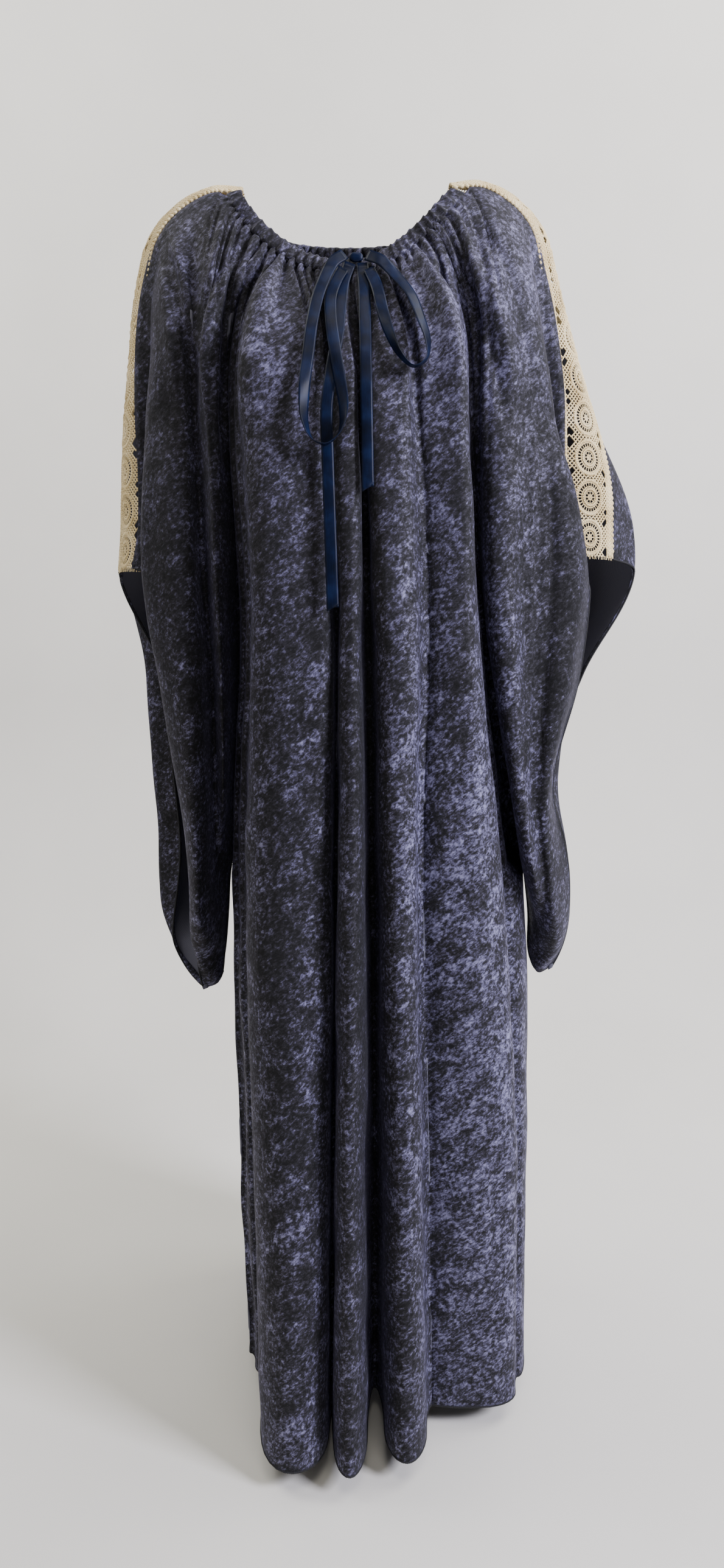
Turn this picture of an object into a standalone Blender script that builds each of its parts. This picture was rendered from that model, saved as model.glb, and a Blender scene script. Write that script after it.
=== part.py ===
"""A floor-length velvet kaftan gown with a drawstring neckline, lace sleeve insertions and wing sleeves.

Metres, +Z up. The origin is at the middle of the shoulder line, the front faces -Y, and +X is the side
that shows on the right when the gown is seen from the front. The tables are in millimetres.
"""

import math

import bmesh
import bpy
import numpy as np

MM = 0.001

# Cloth and seams
VELVET_WALL = 2.0
LACE_WALL = 1.8
SEAM_GAP = 0.4
LACE_SEAM_GAP = 1.2
SEAM_LEAD = 6.0
SEAM_OPENS = 60.0

# Heights of the stations at which the folds are given, from the shoulder line down
BUST, WAIST, HIP, KNEE, HEM = -250.0, -450.0, -750.0, -1050.0, -1370.0
ELBOW, FOREARM, WRIST, CUFF = -420.0, -540.0, -660.0, -870.0
BODY_STATIONS = (BUST, WAIST, HIP, KNEE, HEM)
WING_STATIONS = (BUST, ELBOW, FOREARM, WRIST, HIP - 10.0, CUFF)

# Neck edge: an oval, lower in front, cut a little higher on the right
NECK_MIDDLE_X = -11.0
NECK_HALF_WIDTH = 112.0
NECK_SIDE_Z = -24.0
NECK_FRONT_Y, NECK_FRONT_DEEP, NECK_FRONT_DROP = -45.0, 55.0, 84.0
NECK_BACK_Y, NECK_BACK_DEEP, NECK_BACK_DROP = 43.0, 42.0, 16.0
CASING_HEIGHT = 15.0
CASING_HALF_THICK = 2.2
CASING_RIPPLE = 0.8
# down: share of the height, out: share of half the thickness, once round the band
CASING_SECTION = ((0.0, -0.7), (0.1, 0.9), (0.9, 1.0), (1.0, 0.0), (0.9, -1.0), (0.5, -1.0))
GATHER_DEPTH = 2.6
GATHER_FADE = 120.0

# Lace insertion: the middle line of each band from the neck to the elbow.
# x, y, z: place; turn: degrees that the band faces forward; curl: half angle of its arch, radians
LACE_HALF_WIDTH = 45.0
LACE_LEFT = (
    # x, y, z, turn, curl
    (-123, 0, -6, 0, 0.75),
    (-160, 0, -6, 0, 0.80),
    (-206, 0, -30, 0, 0.85),
    (-233, 0, -63, 2, 0.85),
    (-245, 0, -100, 5, 0.85),
    (-253, -1, -140, 9, 0.85),
    (-259, -4, -195, 16, 0.82),
    (-264, -7, -250, 24, 0.76),
    (-266, -9, -320, 32, 0.66),
    (-267, -9, -375, 33, 0.50),
    (-272, -7, -416, 30, 0.38),
)
LACE_RIGHT = (
    # x, y, z, turn, curl
    (101, 0, -2, 0, 0.75),
    (137, 0, 0, 0, 0.80),
    (172, 0, -14, 2, 0.85),
    (198, 0, -36, 4, 0.85),
    (213, 0, -58, 7, 0.85),
    (223, -2, -92, 12, 0.85),
    (234, -4, -132, 19, 0.83),
    (246, -8, -180, 30, 0.80),
    (257, -13, -230, 42, 0.74),
    (262, -19, -277, 54, 0.64),
    (265, -24, -330, 62, 0.54),
    (266, -24, -372, 62, 0.46),
    (268, -24, -402, 60, 0.40),
)

# Folds of the skirt and body. top: where the fold starts, 1 to 2 round the neck casing from left to
# right; wide: how broad it is beside its neighbours; x and y at bust, waist, hip, knee and hem
FRONT_BODY = (
    # name, top, wide, x, y
    ("left armhole", 1.25, 6, (-139, -131, -150, -145, -136), (-88, -70, -12, -30, -40)),
    ("left side", 1.28, 10, (-131, -122, -143, -142, -133), (-108, -104, -62, -75, -92)),
    ("side crease", 1.30, 8, (-125, -116, -130, -124, -117), (-120, -122, -100, -116, -126)),
    ("first fold", 1.345, 40, (-82, -71, -69, -67, -69), (-160, -182, -207, -240, -276)),
    ("slit", 1.42, 3, (-30, -21, -22, -26, -29), (-150, -158, -156, -170, -185)),
    ("second fold", 1.455, 18, (-13, -5, -5, -7, -7), (-164, -188, -218, -250, -280)),
    ("recess", 1.50, 8, (6, 11, 17, 20, 21), (-152, -149, -146, -146, -150)),
    ("third fold", 1.56, 22, (27, 36, 44, 51, 55), (-165, -188, -208, -235, -262)),
    ("right crease", 1.62, 10, (64, 75, 72, 80, 88), (-146, -157, -166, -172, -177)),
    ("right panel", 1.69, 30, (102, 110, 120, 134, 140), (-152, -166, -176, -182, -182)),
    ("right side", 1.73, 4, (116, 128, 166, 187, 193), (-122, -116, -98, -118, -132)),
    ("right armhole", 1.75, 14, (124, 140, 198, 208, 209), (-88, -66, -12, -25, -35)),
)
BACK_BODY = (
    # name, top, wide, x, y
    ("left armhole", 1.10, 6, (-141, -136, -150, -145, -136), (92, 72, -12, -30, -40)),
    ("left side", 1.19, 14, (-120, -114, -130, -132, -130), (120, 112, 58, 50, 55)),
    ("left hollow", 1.27, 12, (-92, -90, -100, -108, -108), (112, 106, 76, 70, 74)),
    ("left fold", 1.36, 22, (-62, -62, -68, -74, -74), (134, 142, 128, 134, 142)),
    ("left trough", 1.44, 9, (-32, -30, -32, -32, -32), (124, 118, 96, 92, 94)),
    ("middle fold", 1.52, 20, (0, 4, 6, 8, 10), (136, 146, 140, 146, 154)),
    ("right trough", 1.60, 9, (34, 38, 42, 48, 50), (124, 118, 94, 90, 92)),
    ("right fold", 1.68, 24, (66, 70, 80, 90, 94), (134, 140, 122, 128, 136)),
    ("right hollow", 1.76, 12, (96, 98, 118, 134, 138), (110, 104, 74, 66, 70)),
    ("right side", 1.84, 5, (116, 120, 166, 182, 184), (112, 104, 52, 46, 50)),
    ("right armhole", 1.90, 14, (128, 140, 198, 208, 209), (92, 72, -12, -25, -35)),
)

# Folds of the wing sleeves, from the hem inwards. top: 0 to 1 up the left lace seam from the elbow to
# the neck, 2 to 3 down the right one; ease: length over which the fold leaves the seam
LEFT_WING_FRONT = (
    # name, top, ease, x, y at bust, elbow, forearm, wrist, hip and cuff
    ("hem", 0.00, 40, (-248, -232, -217, -202, -192, -196), (-42, -48, -48, -48, -44, -34)),
    ("edge", 0.17, 110, (-254, -237, -219, -203, -194, -199), (-58, -80, -88, -86, -76, -52)),
    ("crest", 0.62, 160, (-212, -200, -190, -184, -182, -188), (-86, -114, -120, -116, -102, -74)),
    ("fall", 0.80, 150, (-184, -176, -171, -170, -172, -179), (-92, -112, -113, -104, -86, -56)),
    ("crease", 0.93, 150, (-170, -166, -161, -162, -166, -173), (-84, -86, -80, -72, -58, -38)),
    ("second crest", 1.13, 170, (-152, -148, -146, -149, -160, -167), (-112, -120, -112, -92, -42, -24)),
)
RIGHT_WING_FRONT = (
    # name, top, ease, x, y at bust, elbow, forearm, wrist, hip and cuff
    ("hem", 3.00, 40, (232, 260, 253, 226, 248, 257), (-48, -62, -56, -64, -60, -28)),
    ("crest", 2.55, 90, (214, 238, 230, 212, 222, 240), (-70, -98, -108, -112, -104, -70)),
    ("crease", 2.28, 150, (190, 189, 190, 194, 210, 226), (-86, -104, -110, -114, -106, -66)),
    ("panel", 2.08, 170, (160, 162, 168, 180, 197, 214), (-104, -126, -134, -134, -120, -64)),
    ("inner edge", 1.86, 160, (136, 138, 150, 170, 188, 210), (-106, -118, -122, -118, -98, -42)),
)
LEFT_WING_BACK = (
    # name, top, ease, x, y at bust, elbow, forearm, wrist, hip and cuff
    ("hem", 0.00, 12, (-256, -290, -238, -228, -222, -234), (50, 54, 38, 28, 24, 8)),
    ("edge", 0.25, 120, (-268, -278, -265, -257, -252, -247), (62, 70, 60, 50, 44, 26)),
    ("crest", 0.50, 150, (-244, -252, -240, -232, -226, -228), (92, 102, 98, 92, 82, 50)),
    ("crease", 0.70, 150, (-206, -208, -202, -198, -194, -204), (88, 84, 80, 72, 60, 30)),
    ("second crest", 0.92, 170, (-172, -168, -164, -164, -166, -182), (116, 126, 118, 100, 60, 20)),
)
RIGHT_WING_BACK = (
    # name, top, ease, x, y at bust, elbow, forearm, wrist, hip and cuff
    ("hem", 3.00, 12, (290, 334, 275, 238, 262, 266), (40, 36, 28, 20, 22, 8)),
    ("edge", 2.75, 60, (304, 333, 278, 252, 262, 264), (48, 54, 58, 48, 42, 24)),
    ("crest", 2.50, 110, (272, 292, 262, 242, 246, 252), (92, 108, 106, 96, 82, 46)),
    ("crease", 2.30, 150, (224, 228, 222, 218, 224, 236), (88, 88, 84, 72, 56, 26)),
    ("second crest", 2.05, 170, (184, 180, 182, 192, 208, 224), (116, 130, 122, 100, 64, 20)),
)

# Underarm seams from the sleeve hem's lowest corner up to where the side seam starts: x, y, z
LEFT_UNDERARM = (
    (-190, -8, -927),
    (-172, -10, -918),
    (-164, -11, -882),
    (-158, -12, -826),
    (-155, -12, -782),
    (-150, -12, -750),
)
RIGHT_UNDERARM = (
    (240, -8, -899),
    (224, -10, -905),
    (213, -11, -884),
    (210, -12, -830),
    (204, -12, -782),
    (198, -12, -750),
)
UNDERARM_EASE = 90.0

# Ribbon
RIBBON_WIDTH = 12.0
RIBBON_THICK = 1.0
KNOT_PLACE = (0.0, -106.0)
KNOT_SIZE = (17.5, 7.0, 12.0)
KNOT_SEAT = 1.6
# height, y: how far forward the front's crests stand, where the strands of the bow lie
RIBBON_LIE = (
    (-100, -103.5),
    (-120, -107.5),
    (-135, -117),
    (-150, -128),
    (-180, -142.8),
    (-210, -154),
    (-240, -162.5),
    (-300, -172),
    (-345, -178),
    (-470, -192),
)
# x, z: the middle line of each strand as it shows from the front; turn: how far it stands edge-on;
# lift: how far it lies off the velvet
LEFT_LOOP = (
    (-11.7, -103.8, 0, 2.6),
    (-23, -114, 10, 9.0),
    (-34, -138, 0, 9.0),
    (-42, -170, 0, 7.5),
    (-47, -210, 10, 5.0),
    (-51, -250, 30, 4.5),
    (-50, -278, 60, 4.5),
    (-42, -296, 84, 4.5),
    (-29, -300, 90, 4.5),
    (-17, -290, 80, 4.5),
    (-12, -268, 45, 4.5),
    (-15, -240, 20, 4.5),
    (-21, -205, 5, 5.0),
    (-25, -175, 0, 5.2),
    (-25, -150, 0, 5.2),
    (-19, -130, 0, 5.2),
    (-13, -119, 0, 5.2),
)
RIGHT_LOOP = (
    (11.2, -104.6, 0, 2.4),
    (25, -112, 10, 8.5),
    (40, -128, 20, 6.5),
    (54, -148, 30, 5.5),
    (64, -175, 40, 5.0),
    (71, -200, 60, 4.5),
    (69, -218, 84, 4.5),
    (57, -225, 90, 4.5),
    (44, -214, 75, 4.5),
    (33, -190, 40, 4.5),
    (26, -165, 15, 5.2),
    (21, -140, 0, 5.2),
    (16, -126, 0, 5.2),
    (13, -119, 0, 5.2),
)
LEFT_TAIL = (
    (-6.2, -112.4, 0, 1.6),
    (-12, -130, 0, 1.8),
    (-15, -155, 0, 1.8),
    (-18, -190, 0, 1.8),
    (-24, -225, 0, 1.8),
    (-29, -265, 0, 1.8),
    (-28, -310, 0, 1.8),
    (-26, -370, 0, 1.8),
    (-24, -430, 0, 1.8),
    (-23, -462, 0, 1.8),
)
RIGHT_TAIL = (
    (6.3, -112.4, 0, 1.6),
    (8, -140, 0, 1.8),
    (9, -180, 0, 1.8),
    (10, -230, 0, 1.8),
    (11, -290, 0, 1.8),
    (12, -345, 0, 1.8),
)

# How finely the solids are cut
FRONT_STEPS, BACK_STEPS, WING_STEPS = 6, 4, 3
UPPER_ROWS = (0.0, 0.03, 0.1, 0.2, 0.32, 0.46, 0.62, 0.78, 0.92, 1.0)
LOWER_ROWS = (0.03, 0.22, 0.48, 0.74, 1.0)
LACE_REPEATS = 11
LACE_CELLS = (0.0, 0.06, 0.20, 0.80, 0.94)
LACE_ACROSS = (-1.0, -0.66, -0.50, -0.18, 0.18, 0.50, 0.66, 1.0)
LACE_GAP_ROWS = (1, 3)
LACE_GAP_COLUMNS = (1, 5)


def unit(vectors):
    vectors = np.asarray(vectors, float)
    return vectors / np.linalg.norm(vectors, axis=-1, keepdims=True)


def slopes(places, values):
    """Slope at each place of a curve with no kinks through the values."""
    steps = np.diff(values, axis=-1) / np.diff(places, axis=-1)
    inner = 0.5 * (steps[..., 1:] + steps[..., :-1])
    return np.concatenate([steps[..., :1], inner, steps[..., -1:]], axis=-1)


def along(table, share):
    """Points a share of the way along a smooth curve through the table's rows."""
    rows = np.asarray(table, float)
    lengths = np.linalg.norm(np.diff(rows[:, :3], axis=0), axis=1)
    places = np.concatenate([[0.0], np.cumsum(lengths)])
    at = np.clip(np.asarray(share, float), 0, 1) * places[-1]
    k = np.clip(np.searchsorted(places, at) - 1, 0, len(places) - 2)
    run = places[k + 1] - places[k]
    t = ((at - places[k]) / run)[..., None]
    slope = slopes(places, rows.T).T
    start, end = rows[k], rows[k + 1]
    start_pull, end_pull = slope[k] * run[..., None], slope[k + 1] * run[..., None]
    return (
        (2 * t**3 - 3 * t**2 + 1) * start
        + (t**3 - 2 * t**2 + t) * start_pull
        + (3 * t**2 - 2 * t**3) * end
        + (t**3 - t**2) * end_pull
    )


def lace_frame(table, share):
    """Middle point, face direction, width direction and curl of a lace band, from the neck down."""
    share = np.asarray(share, float)
    rows = along(table, share)
    step = 0.01
    ahead = along(table, np.minimum(share + step, 1))[..., :3]
    behind = along(table, np.maximum(share - step, 0))[..., :3]
    run = unit(ahead - behind)
    outward = -1.0 if table[-1][0] < 0 else 1.0
    face = np.stack([-run[..., 2], np.zeros_like(share), run[..., 0]], axis=-1) * outward
    turn = np.radians(rows[..., 3])[..., None]
    width = np.zeros_like(face)
    width[..., 0] = np.sin(turn[..., 0]) * outward
    width[..., 1] = np.cos(turn[..., 0])
    face = unit(face - (face * width).sum(-1, keepdims=True) * width)
    return rows[..., :3], face, width, rows[..., 4]


def lace_point(table, share, across):
    """Outer face of the band: across is -1 at the front seam and 1 at the back seam."""
    middle, face, width, curl = lace_frame(table, share)
    radius = (LACE_HALF_WIDTH / curl)[..., None]
    angle = (curl * across)[..., None]
    point = middle + radius * (np.sin(angle) * width + (np.cos(angle) - 1) * face)
    leave = np.sign(across)[..., None] * (np.cos(angle) * width - np.sin(angle) * face)
    return point, unit(leave)


def neck_edge(share, side):
    """Neck edge and the way the cloth leaves it; share runs 0 to 1 from left to right."""
    angle = math.pi * np.asarray(share, float)
    c, s = np.cos(angle), np.sin(angle)
    if side < 0:
        drop = np.where(c > 0, s**1.6, s**2.2)
        y = NECK_FRONT_Y - SEAM_GAP - NECK_FRONT_DEEP * s
        z = NECK_SIDE_Z - NECK_FRONT_DROP * drop
    else:
        y = NECK_BACK_Y + SEAM_GAP + NECK_BACK_DEEP * s
        z = NECK_SIDE_Z - NECK_BACK_DROP * s
    x = NECK_MIDDLE_X - NECK_HALF_WIDTH * c
    leave = np.stack([-c, 0.3 * side * s, -0.94 * s - 0.3 * np.abs(c)], axis=-1)
    return np.stack([x, y, z], axis=-1), unit(leave)


def top_seam(place, side):
    """Upper edge of a panel: 0 to 1 up the left lace, 1 to 2 round the neck, 2 to 3 down the right lace."""
    place = np.asarray(place, float)
    casing_share = 0.035
    left_share = 1 - (1 - casing_share) * np.clip(place, 0, 1)
    right_share = casing_share + (1 - casing_share) * np.clip(place - 2, 0, 1)
    across = np.full_like(place, float(side))
    left, left_leave = lace_point(LACE_LEFT, left_share, across)
    right, right_leave = lace_point(LACE_RIGHT, right_share, across)
    neck, neck_leave = neck_edge(np.clip(place - 1, 0, 1), side)
    neck = neck + neck_leave * CASING_HEIGHT
    on_left = (place < 1)[..., None]
    on_right = (place > 2)[..., None]
    point = np.where(on_left, left, np.where(on_right, right, neck))
    leave = np.where(on_left, left_leave, np.where(on_right, right_leave, neck_leave))
    gap = np.where(on_left | on_right, LACE_SEAM_GAP, SEAM_GAP)
    return point + leave * gap, leave


class Folds:
    """Fold lines of one piece, read at any height and at any place between two lines."""

    def __init__(self, rows, stations, body=None, line=0):
        self.heights = np.asarray(stations, float)
        self.tops = [row[1] for row in rows]
        self.widths = [row[2] for row in rows]
        self.x = [row[3] for row in rows]
        self.y = [row[4] for row in rows]
        if body is not None:
            x, y = body.line(np.full(len(stations), line), self.heights)
            self.tops.append(body.tops[line])
            self.widths.append(self.widths[-1])
            self.x.append(x)
            self.y.append(y)
        self.tops = np.asarray(self.tops, float)
        self.widths = np.asarray(self.widths, float)
        self.x = np.asarray(self.x, float)
        self.y = np.asarray(self.y, float)
        self.x_slope = slopes(self.heights, self.x)
        self.y_slope = slopes(self.heights, self.y)

    def line(self, number, z):
        """x and y of the numbered lines at heights z."""
        number = np.clip(number, 0, len(self.x) - 1)
        z = np.clip(z, self.heights[-1], self.heights[0])
        k = np.clip((self.heights > z[..., None]).sum(-1) - 1, 0, len(self.heights) - 2)
        start = self.heights[k]
        run = self.heights[k + 1] - start
        t = (z - start) / run
        out = []
        for values, slope in ((self.x, self.x_slope), (self.y, self.y_slope)):
            a, b = values[number, k], values[number, k + 1]
            pull_a, pull_b = slope[number, k] * run, slope[number, k + 1] * run
            out.append(
                (2 * t**3 - 3 * t**2 + 1) * a
                + (t**3 - 2 * t**2 + t) * pull_a
                + (3 * t**2 - 2 * t**3) * b
                + (t**3 - t**2) * pull_b
            )
        return out

    def wave(self, u, z):
        """Round folds: crests and troughs in turn, with upright walls where the fold is deep."""
        low = np.clip(np.floor(u).astype(int), 0, len(self.x) - 2)
        p = u - low
        xa, ya = self.line(low, z)
        xb, yb = self.line(low + 1, z)
        wall = self.widths[low] / (self.widths[low] + self.widths[low + 1])
        steep = np.abs(yb - ya) / (np.abs(xb - xa) + 1e-6)
        upright = np.clip((steep - 0.45) / 0.6, 0, 1)
        plain = p ** (np.log(wall) / math.log(0.5))
        round_a = wall * np.sin(math.pi * p)
        round_b = 1 - (1 - wall) * np.sin(math.pi * (1 - p))
        share = (1 - upright) * plain + upright * np.where(p < 0.5, round_a, round_b)
        rise = 0.5 - 0.5 * np.cos(math.pi * p)
        # Below the underarm the outer lines are side seams, which lie on the side of the tube
        ends = np.clip((HIP - z) / 15, 0, 1)
        first, last = low == 0, low == len(self.x) - 2
        share_first, rise_first = 1 - np.cos(0.5 * math.pi * p), np.sin(0.5 * math.pi * p)
        share_last, rise_last = np.sin(0.5 * math.pi * p), 1 - np.cos(0.5 * math.pi * p)
        share = np.where(first, share + ends * (share_first - share), share)
        rise = np.where(first, rise + ends * (rise_first - rise), rise)
        share = np.where(last, share + ends * (share_last - share), share)
        rise = np.where(last, rise + ends * (rise_last - rise), rise)
        return xa + (xb - xa) * share, ya + (yb - ya) * rise

    def spline(self, u, z):
        """A smooth curve through the lines, for folds that turn under."""
        low = np.clip(np.floor(u).astype(int), 0, len(self.x) - 2)
        t = u - low
        near = [self.line(low + step, z) for step in (-1, 0, 1, 2)]
        out = []
        for axis in (0, 1):
            before, start, end, after = (place[axis] for place in near)
            before = np.where(low == 0, 2 * start - end, before)
            after = np.where(low == len(self.x) - 2, 2 * end - start, after)
            out.append(
                start
                + 0.5 * t * (end - before)
                + t**2 * (before - 2.5 * start + 2 * end - 0.5 * after)
                + t**3 * (1.5 * (start - end) + 0.5 * (after - before))
            )
        return out


def fade(distance, length):
    return (1 - np.clip(distance / length, 0, 1)) ** 2.5


def hang_wing(folds, u, rows, side, underarm):
    """Points of a wing sleeve's half, from the lace seam down to the underarm seam."""
    tops = np.interp(u, np.arange(len(folds.tops)), folds.tops)
    eases = np.interp(u, np.arange(len(folds.widths)), folds.widths)
    seam, leave = top_seam(tops, side)
    start = seam + leave * SEAM_LEAD
    foot = along(underarm, u / (len(folds.tops) - 1))
    foot[:, 1] += side * (0.5 * SEAM_GAP + VELVET_WALL)
    z = start[:, 2] + (foot[:, 2] - start[:, 2]) * rows[:, None]
    spread = np.broadcast_to(u, z.shape)
    x, y = folds.spline(spread, z)
    start_x, start_y = folds.spline(u, start[:, 2])
    foot_x, foot_y = folds.spline(u, foot[:, 2])
    top_fade = fade(start[:, 2] - z, eases)
    foot_fade = fade(z - foot[:, 2], UNDERARM_EASE)
    x = x + (start[:, 0] - start_x) * top_fade + (foot[:, 0] - foot_x) * foot_fade
    y = y + (start[:, 1] - start_y) * top_fade + (foot[:, 1] - foot_y) * foot_fade
    return np.concatenate([seam[None], np.stack([x, y, z], axis=-1)])


def hang_body(folds, u, upper, lower, side):
    """Points of the body and skirt, from the neck casing down to the hem."""
    tops = np.interp(u, np.arange(len(folds.tops)), folds.tops)
    seam, leave = top_seam(tops, side)
    start = seam + leave * SEAM_LEAD
    z_upper = start[:, 2] + (HIP - start[:, 2]) * upper[:, None]
    z_lower = HIP + (HEM - HIP) * lower[:, None] + np.zeros_like(u)
    z = np.concatenate([z_upper, z_lower])
    spread = np.broadcast_to(u, z.shape)
    x, y = folds.wave(spread, z)
    start_x, start_y = folds.wave(u, start[:, 2])
    top_fade = fade(start[:, 2] - z, 170.0)
    x = x + (start[:, 0] - start_x) * top_fade
    y = y + (start[:, 1] - start_y) * top_fade
    for column in (0, -1):
        # The side seam is one line on both panels; above it there is room for the walls of the sleeve
        height = z[:, column]
        seam_y = np.interp(-height, -folds.heights, folds.y[column])
        y[:, column] = np.where(height < HIP - 1, seam_y, y[:, column])
        room = VELVET_WALL * np.clip(1 - (HIP - height) / SEAM_OPENS, 0, 1)
        y[:, column] += side * (room + 0.5 * SEAM_GAP)
    return np.concatenate([seam[None], np.stack([x, y, z], axis=-1)])


def gather(points):
    """Fine gathers below the casing: every second column stands out, and they fade downwards."""
    normal = unit(np.cross(np.gradient(points, axis=0), np.gradient(points, axis=1)))
    below = np.linalg.norm(points - points[:1], axis=-1)
    column = np.arange(points.shape[1])
    uneven = np.cos(math.pi * column) * (0.75 + 0.25 * np.sin(2.7 * column + 0.8))
    height = GATHER_DEPTH * fade(below, GATHER_FADE) * uneven
    height[:, [0, -1]] = 0
    return points + normal * height[..., None]


def material(name, colour, roughness):
    made = bpy.data.materials.new(name)
    made.use_nodes = True
    shader = made.node_tree.nodes["Principled BSDF"]
    shader.inputs["Base Color"].default_value = (*colour, 1)
    shader.inputs["Roughness"].default_value = roughness
    shader.inputs["Metallic"].default_value = 0.0
    return made


def new_object(name, points, faces, finish):
    mesh = bpy.data.meshes.new(name)
    mesh.from_pydata([tuple(point) for point in np.asarray(points) * MM], [], faces)
    mesh.materials.append(finish)
    mesh.shade_smooth()
    obj = bpy.data.objects.new(name, mesh)
    GOWN.objects.link(obj)
    return obj


def add_wall(obj, thickness):
    wall = obj.modifiers.new("cloth wall", "SOLIDIFY")
    wall.thickness = thickness * MM
    wall.offset = -1
    wall.use_rim = True
    return obj


def grid_faces(numbers, flipped):
    faces = []
    rows, columns = numbers.shape
    for r in range(rows - 1):
        for c in range(columns - 1):
            face = [numbers[r, c], numbers[r + 1, c], numbers[r + 1, c + 1], numbers[r, c + 1]]
            face = [int(number) for number in face]
            faces.append(face[::-1] if flipped else face)
    return faces


def make_panel(name, body_rows, left_rows, right_rows, steps, side, finish):
    """A front or back cut in one piece with the sleeve halves, as one sheet with a wall."""
    upper, lower = np.asarray(UPPER_ROWS), np.asarray(LOWER_ROWS)
    body = Folds(body_rows, BODY_STATIONS)
    left = Folds(left_rows, WING_STATIONS, body, 0)
    right = Folds(right_rows, WING_STATIONS, body, len(body_rows) - 1)
    u_body = np.linspace(0, len(body_rows) - 1, (len(body_rows) - 1) * steps + 1)
    middle = hang_body(body, u_body, upper, lower, side)
    middle = gather(middle)
    u_left = np.linspace(0, len(left_rows), len(left_rows) * WING_STEPS + 1)
    u_right = np.linspace(0, len(right_rows), len(right_rows) * WING_STEPS + 1)
    left_wing = hang_wing(left, u_left, upper, side, LEFT_UNDERARM)
    right_wing = hang_wing(right, u_right, upper, side, RIGHT_UNDERARM)[:, ::-1]
    shared_rows = len(upper) + 1
    points = [middle.reshape(-1, 3)]
    count = middle.shape[0] * middle.shape[1]
    middle_numbers = np.arange(count).reshape(middle.shape[:2])
    faces = grid_faces(middle_numbers, side > 0)
    for wing, shared, own in ((left_wing, 0, slice(0, -1)), (right_wing, -1, slice(1, None))):
        kept = wing[:, own]
        numbers = np.arange(count, count + kept.shape[0] * kept.shape[1]).reshape(kept.shape[:2])
        count += numbers.size
        points.append(kept.reshape(-1, 3))
        edge = middle_numbers[:shared_rows, [shared]]
        numbers = np.hstack([numbers, edge] if shared == 0 else [edge, numbers])
        faces += grid_faces(numbers, side > 0)
    return add_wall(new_object(name, np.concatenate(points), faces, finish), VELVET_WALL)


def make_lace(name, table, finish):
    """A band in one arched strip, with the gaps where the round medallions meet cut through."""
    on_left = table[-1][0] < 0
    repeats = [(number + cell) / LACE_REPEATS for number in range(LACE_REPEATS) for cell in LACE_CELLS]
    share, across = np.meshgrid(repeats + [1.0], LACE_ACROSS, indexing="ij")
    points, _ = lace_point(table, share, across)
    numbers = np.arange(share.size).reshape(share.shape)
    faces = []
    for r in range(numbers.shape[0] - 1):
        gap_row = r % len(LACE_CELLS) in LACE_GAP_ROWS
        for c in range(numbers.shape[1] - 1):
            if gap_row and c in LACE_GAP_COLUMNS:
                continue
            face = [numbers[r, c], numbers[r, c + 1], numbers[r + 1, c + 1], numbers[r + 1, c]]
            face = [int(number) for number in face]
            faces.append(face if on_left else face[::-1])
    return add_wall(new_object(name, points.reshape(-1, 3), faces, finish), LACE_WALL)


def make_casing(name, side, columns, finish):
    """The turned neck edge that holds the drawstring: a soft band, gathered along its length."""
    edge, leave = neck_edge(np.linspace(0, 1, columns + 1), side)
    run = unit(np.gradient(edge, axis=0))
    out = unit(np.cross(leave, run)) * side
    ripple = CASING_RIPPLE * np.cos(math.pi * np.arange(columns + 1))
    ripple[0] = ripple[-1] = 0
    rings = []
    for down, thick in CASING_SECTION:
        swell = thick * CASING_HALF_THICK + ripple
        rings.append(edge + leave * (down * CASING_HEIGHT) + out * swell[:, None])
    points = np.stack(rings, axis=1)
    numbers = np.arange(points.shape[0] * points.shape[1]).reshape(points.shape[:2])
    closed = np.hstack([numbers, numbers[:, :1]])
    faces = grid_faces(closed, False)
    faces.append([int(number) for number in numbers[0]])
    faces.append([int(number) for number in numbers[-1][::-1]])
    obj = new_object(name, points.reshape(-1, 3), faces, finish)
    turn_outwards(obj)
    return obj


def turn_outwards(obj):
    bm = bmesh.new()
    bm.from_mesh(obj.data)
    bmesh.ops.recalc_face_normals(bm, faces=bm.faces)
    bm.to_mesh(obj.data)
    bm.free()


def ribbon_lie(z):
    heights, depths = zip(*RIBBON_LIE)
    return -np.interp(-np.asarray(z, float), [-height for height in heights], [-depth for depth in depths])


def make_ribbon(name, route, finish, slanted_end=False):
    """A flat strand of satin ribbon that lies just in front of the velvet."""
    places = [(x, 0.0, z, turn, lift) for x, z, turn, lift in route]
    rows = along(places, np.linspace(0, 1, 2 * len(route) - 1))
    x, z, turn, lift = rows[:, 0], rows[:, 2], np.radians(rows[:, 3]), rows[:, 4]
    y = ribbon_lie(z) - lift
    middle = np.stack([x, y, z], axis=-1)
    run = np.gradient(middle, axis=0)
    run[:, 1] = 0
    run = unit(run)
    flat = np.stack([-run[:, 2], np.zeros(len(x)), run[:, 0]], axis=-1)
    deep = np.zeros_like(flat)
    deep[:, 1] = 1
    width = np.cos(turn)[:, None] * flat + np.sin(turn)[:, None] * deep
    half = 0.5 * RIBBON_WIDTH
    left, right = middle - half * width, middle + half * width
    forward = np.abs(np.sin(turn)) * half
    for edge in (left, right):
        edge[:, 1] += ribbon_lie(edge[:, 2]) - ribbon_lie(z) - forward
    if slanted_end:
        right[-1, 2] += 7.0
    points = np.concatenate([left, right])
    count = len(x)
    faces = [(i, i + count, i + count + 1, i + 1) for i in range(count - 1)]
    obj = new_object(name, points, faces, finish)
    wall = add_wall(obj, RIBBON_THICK)
    wall.modifiers["cloth wall"].offset = 0
    return obj


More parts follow.
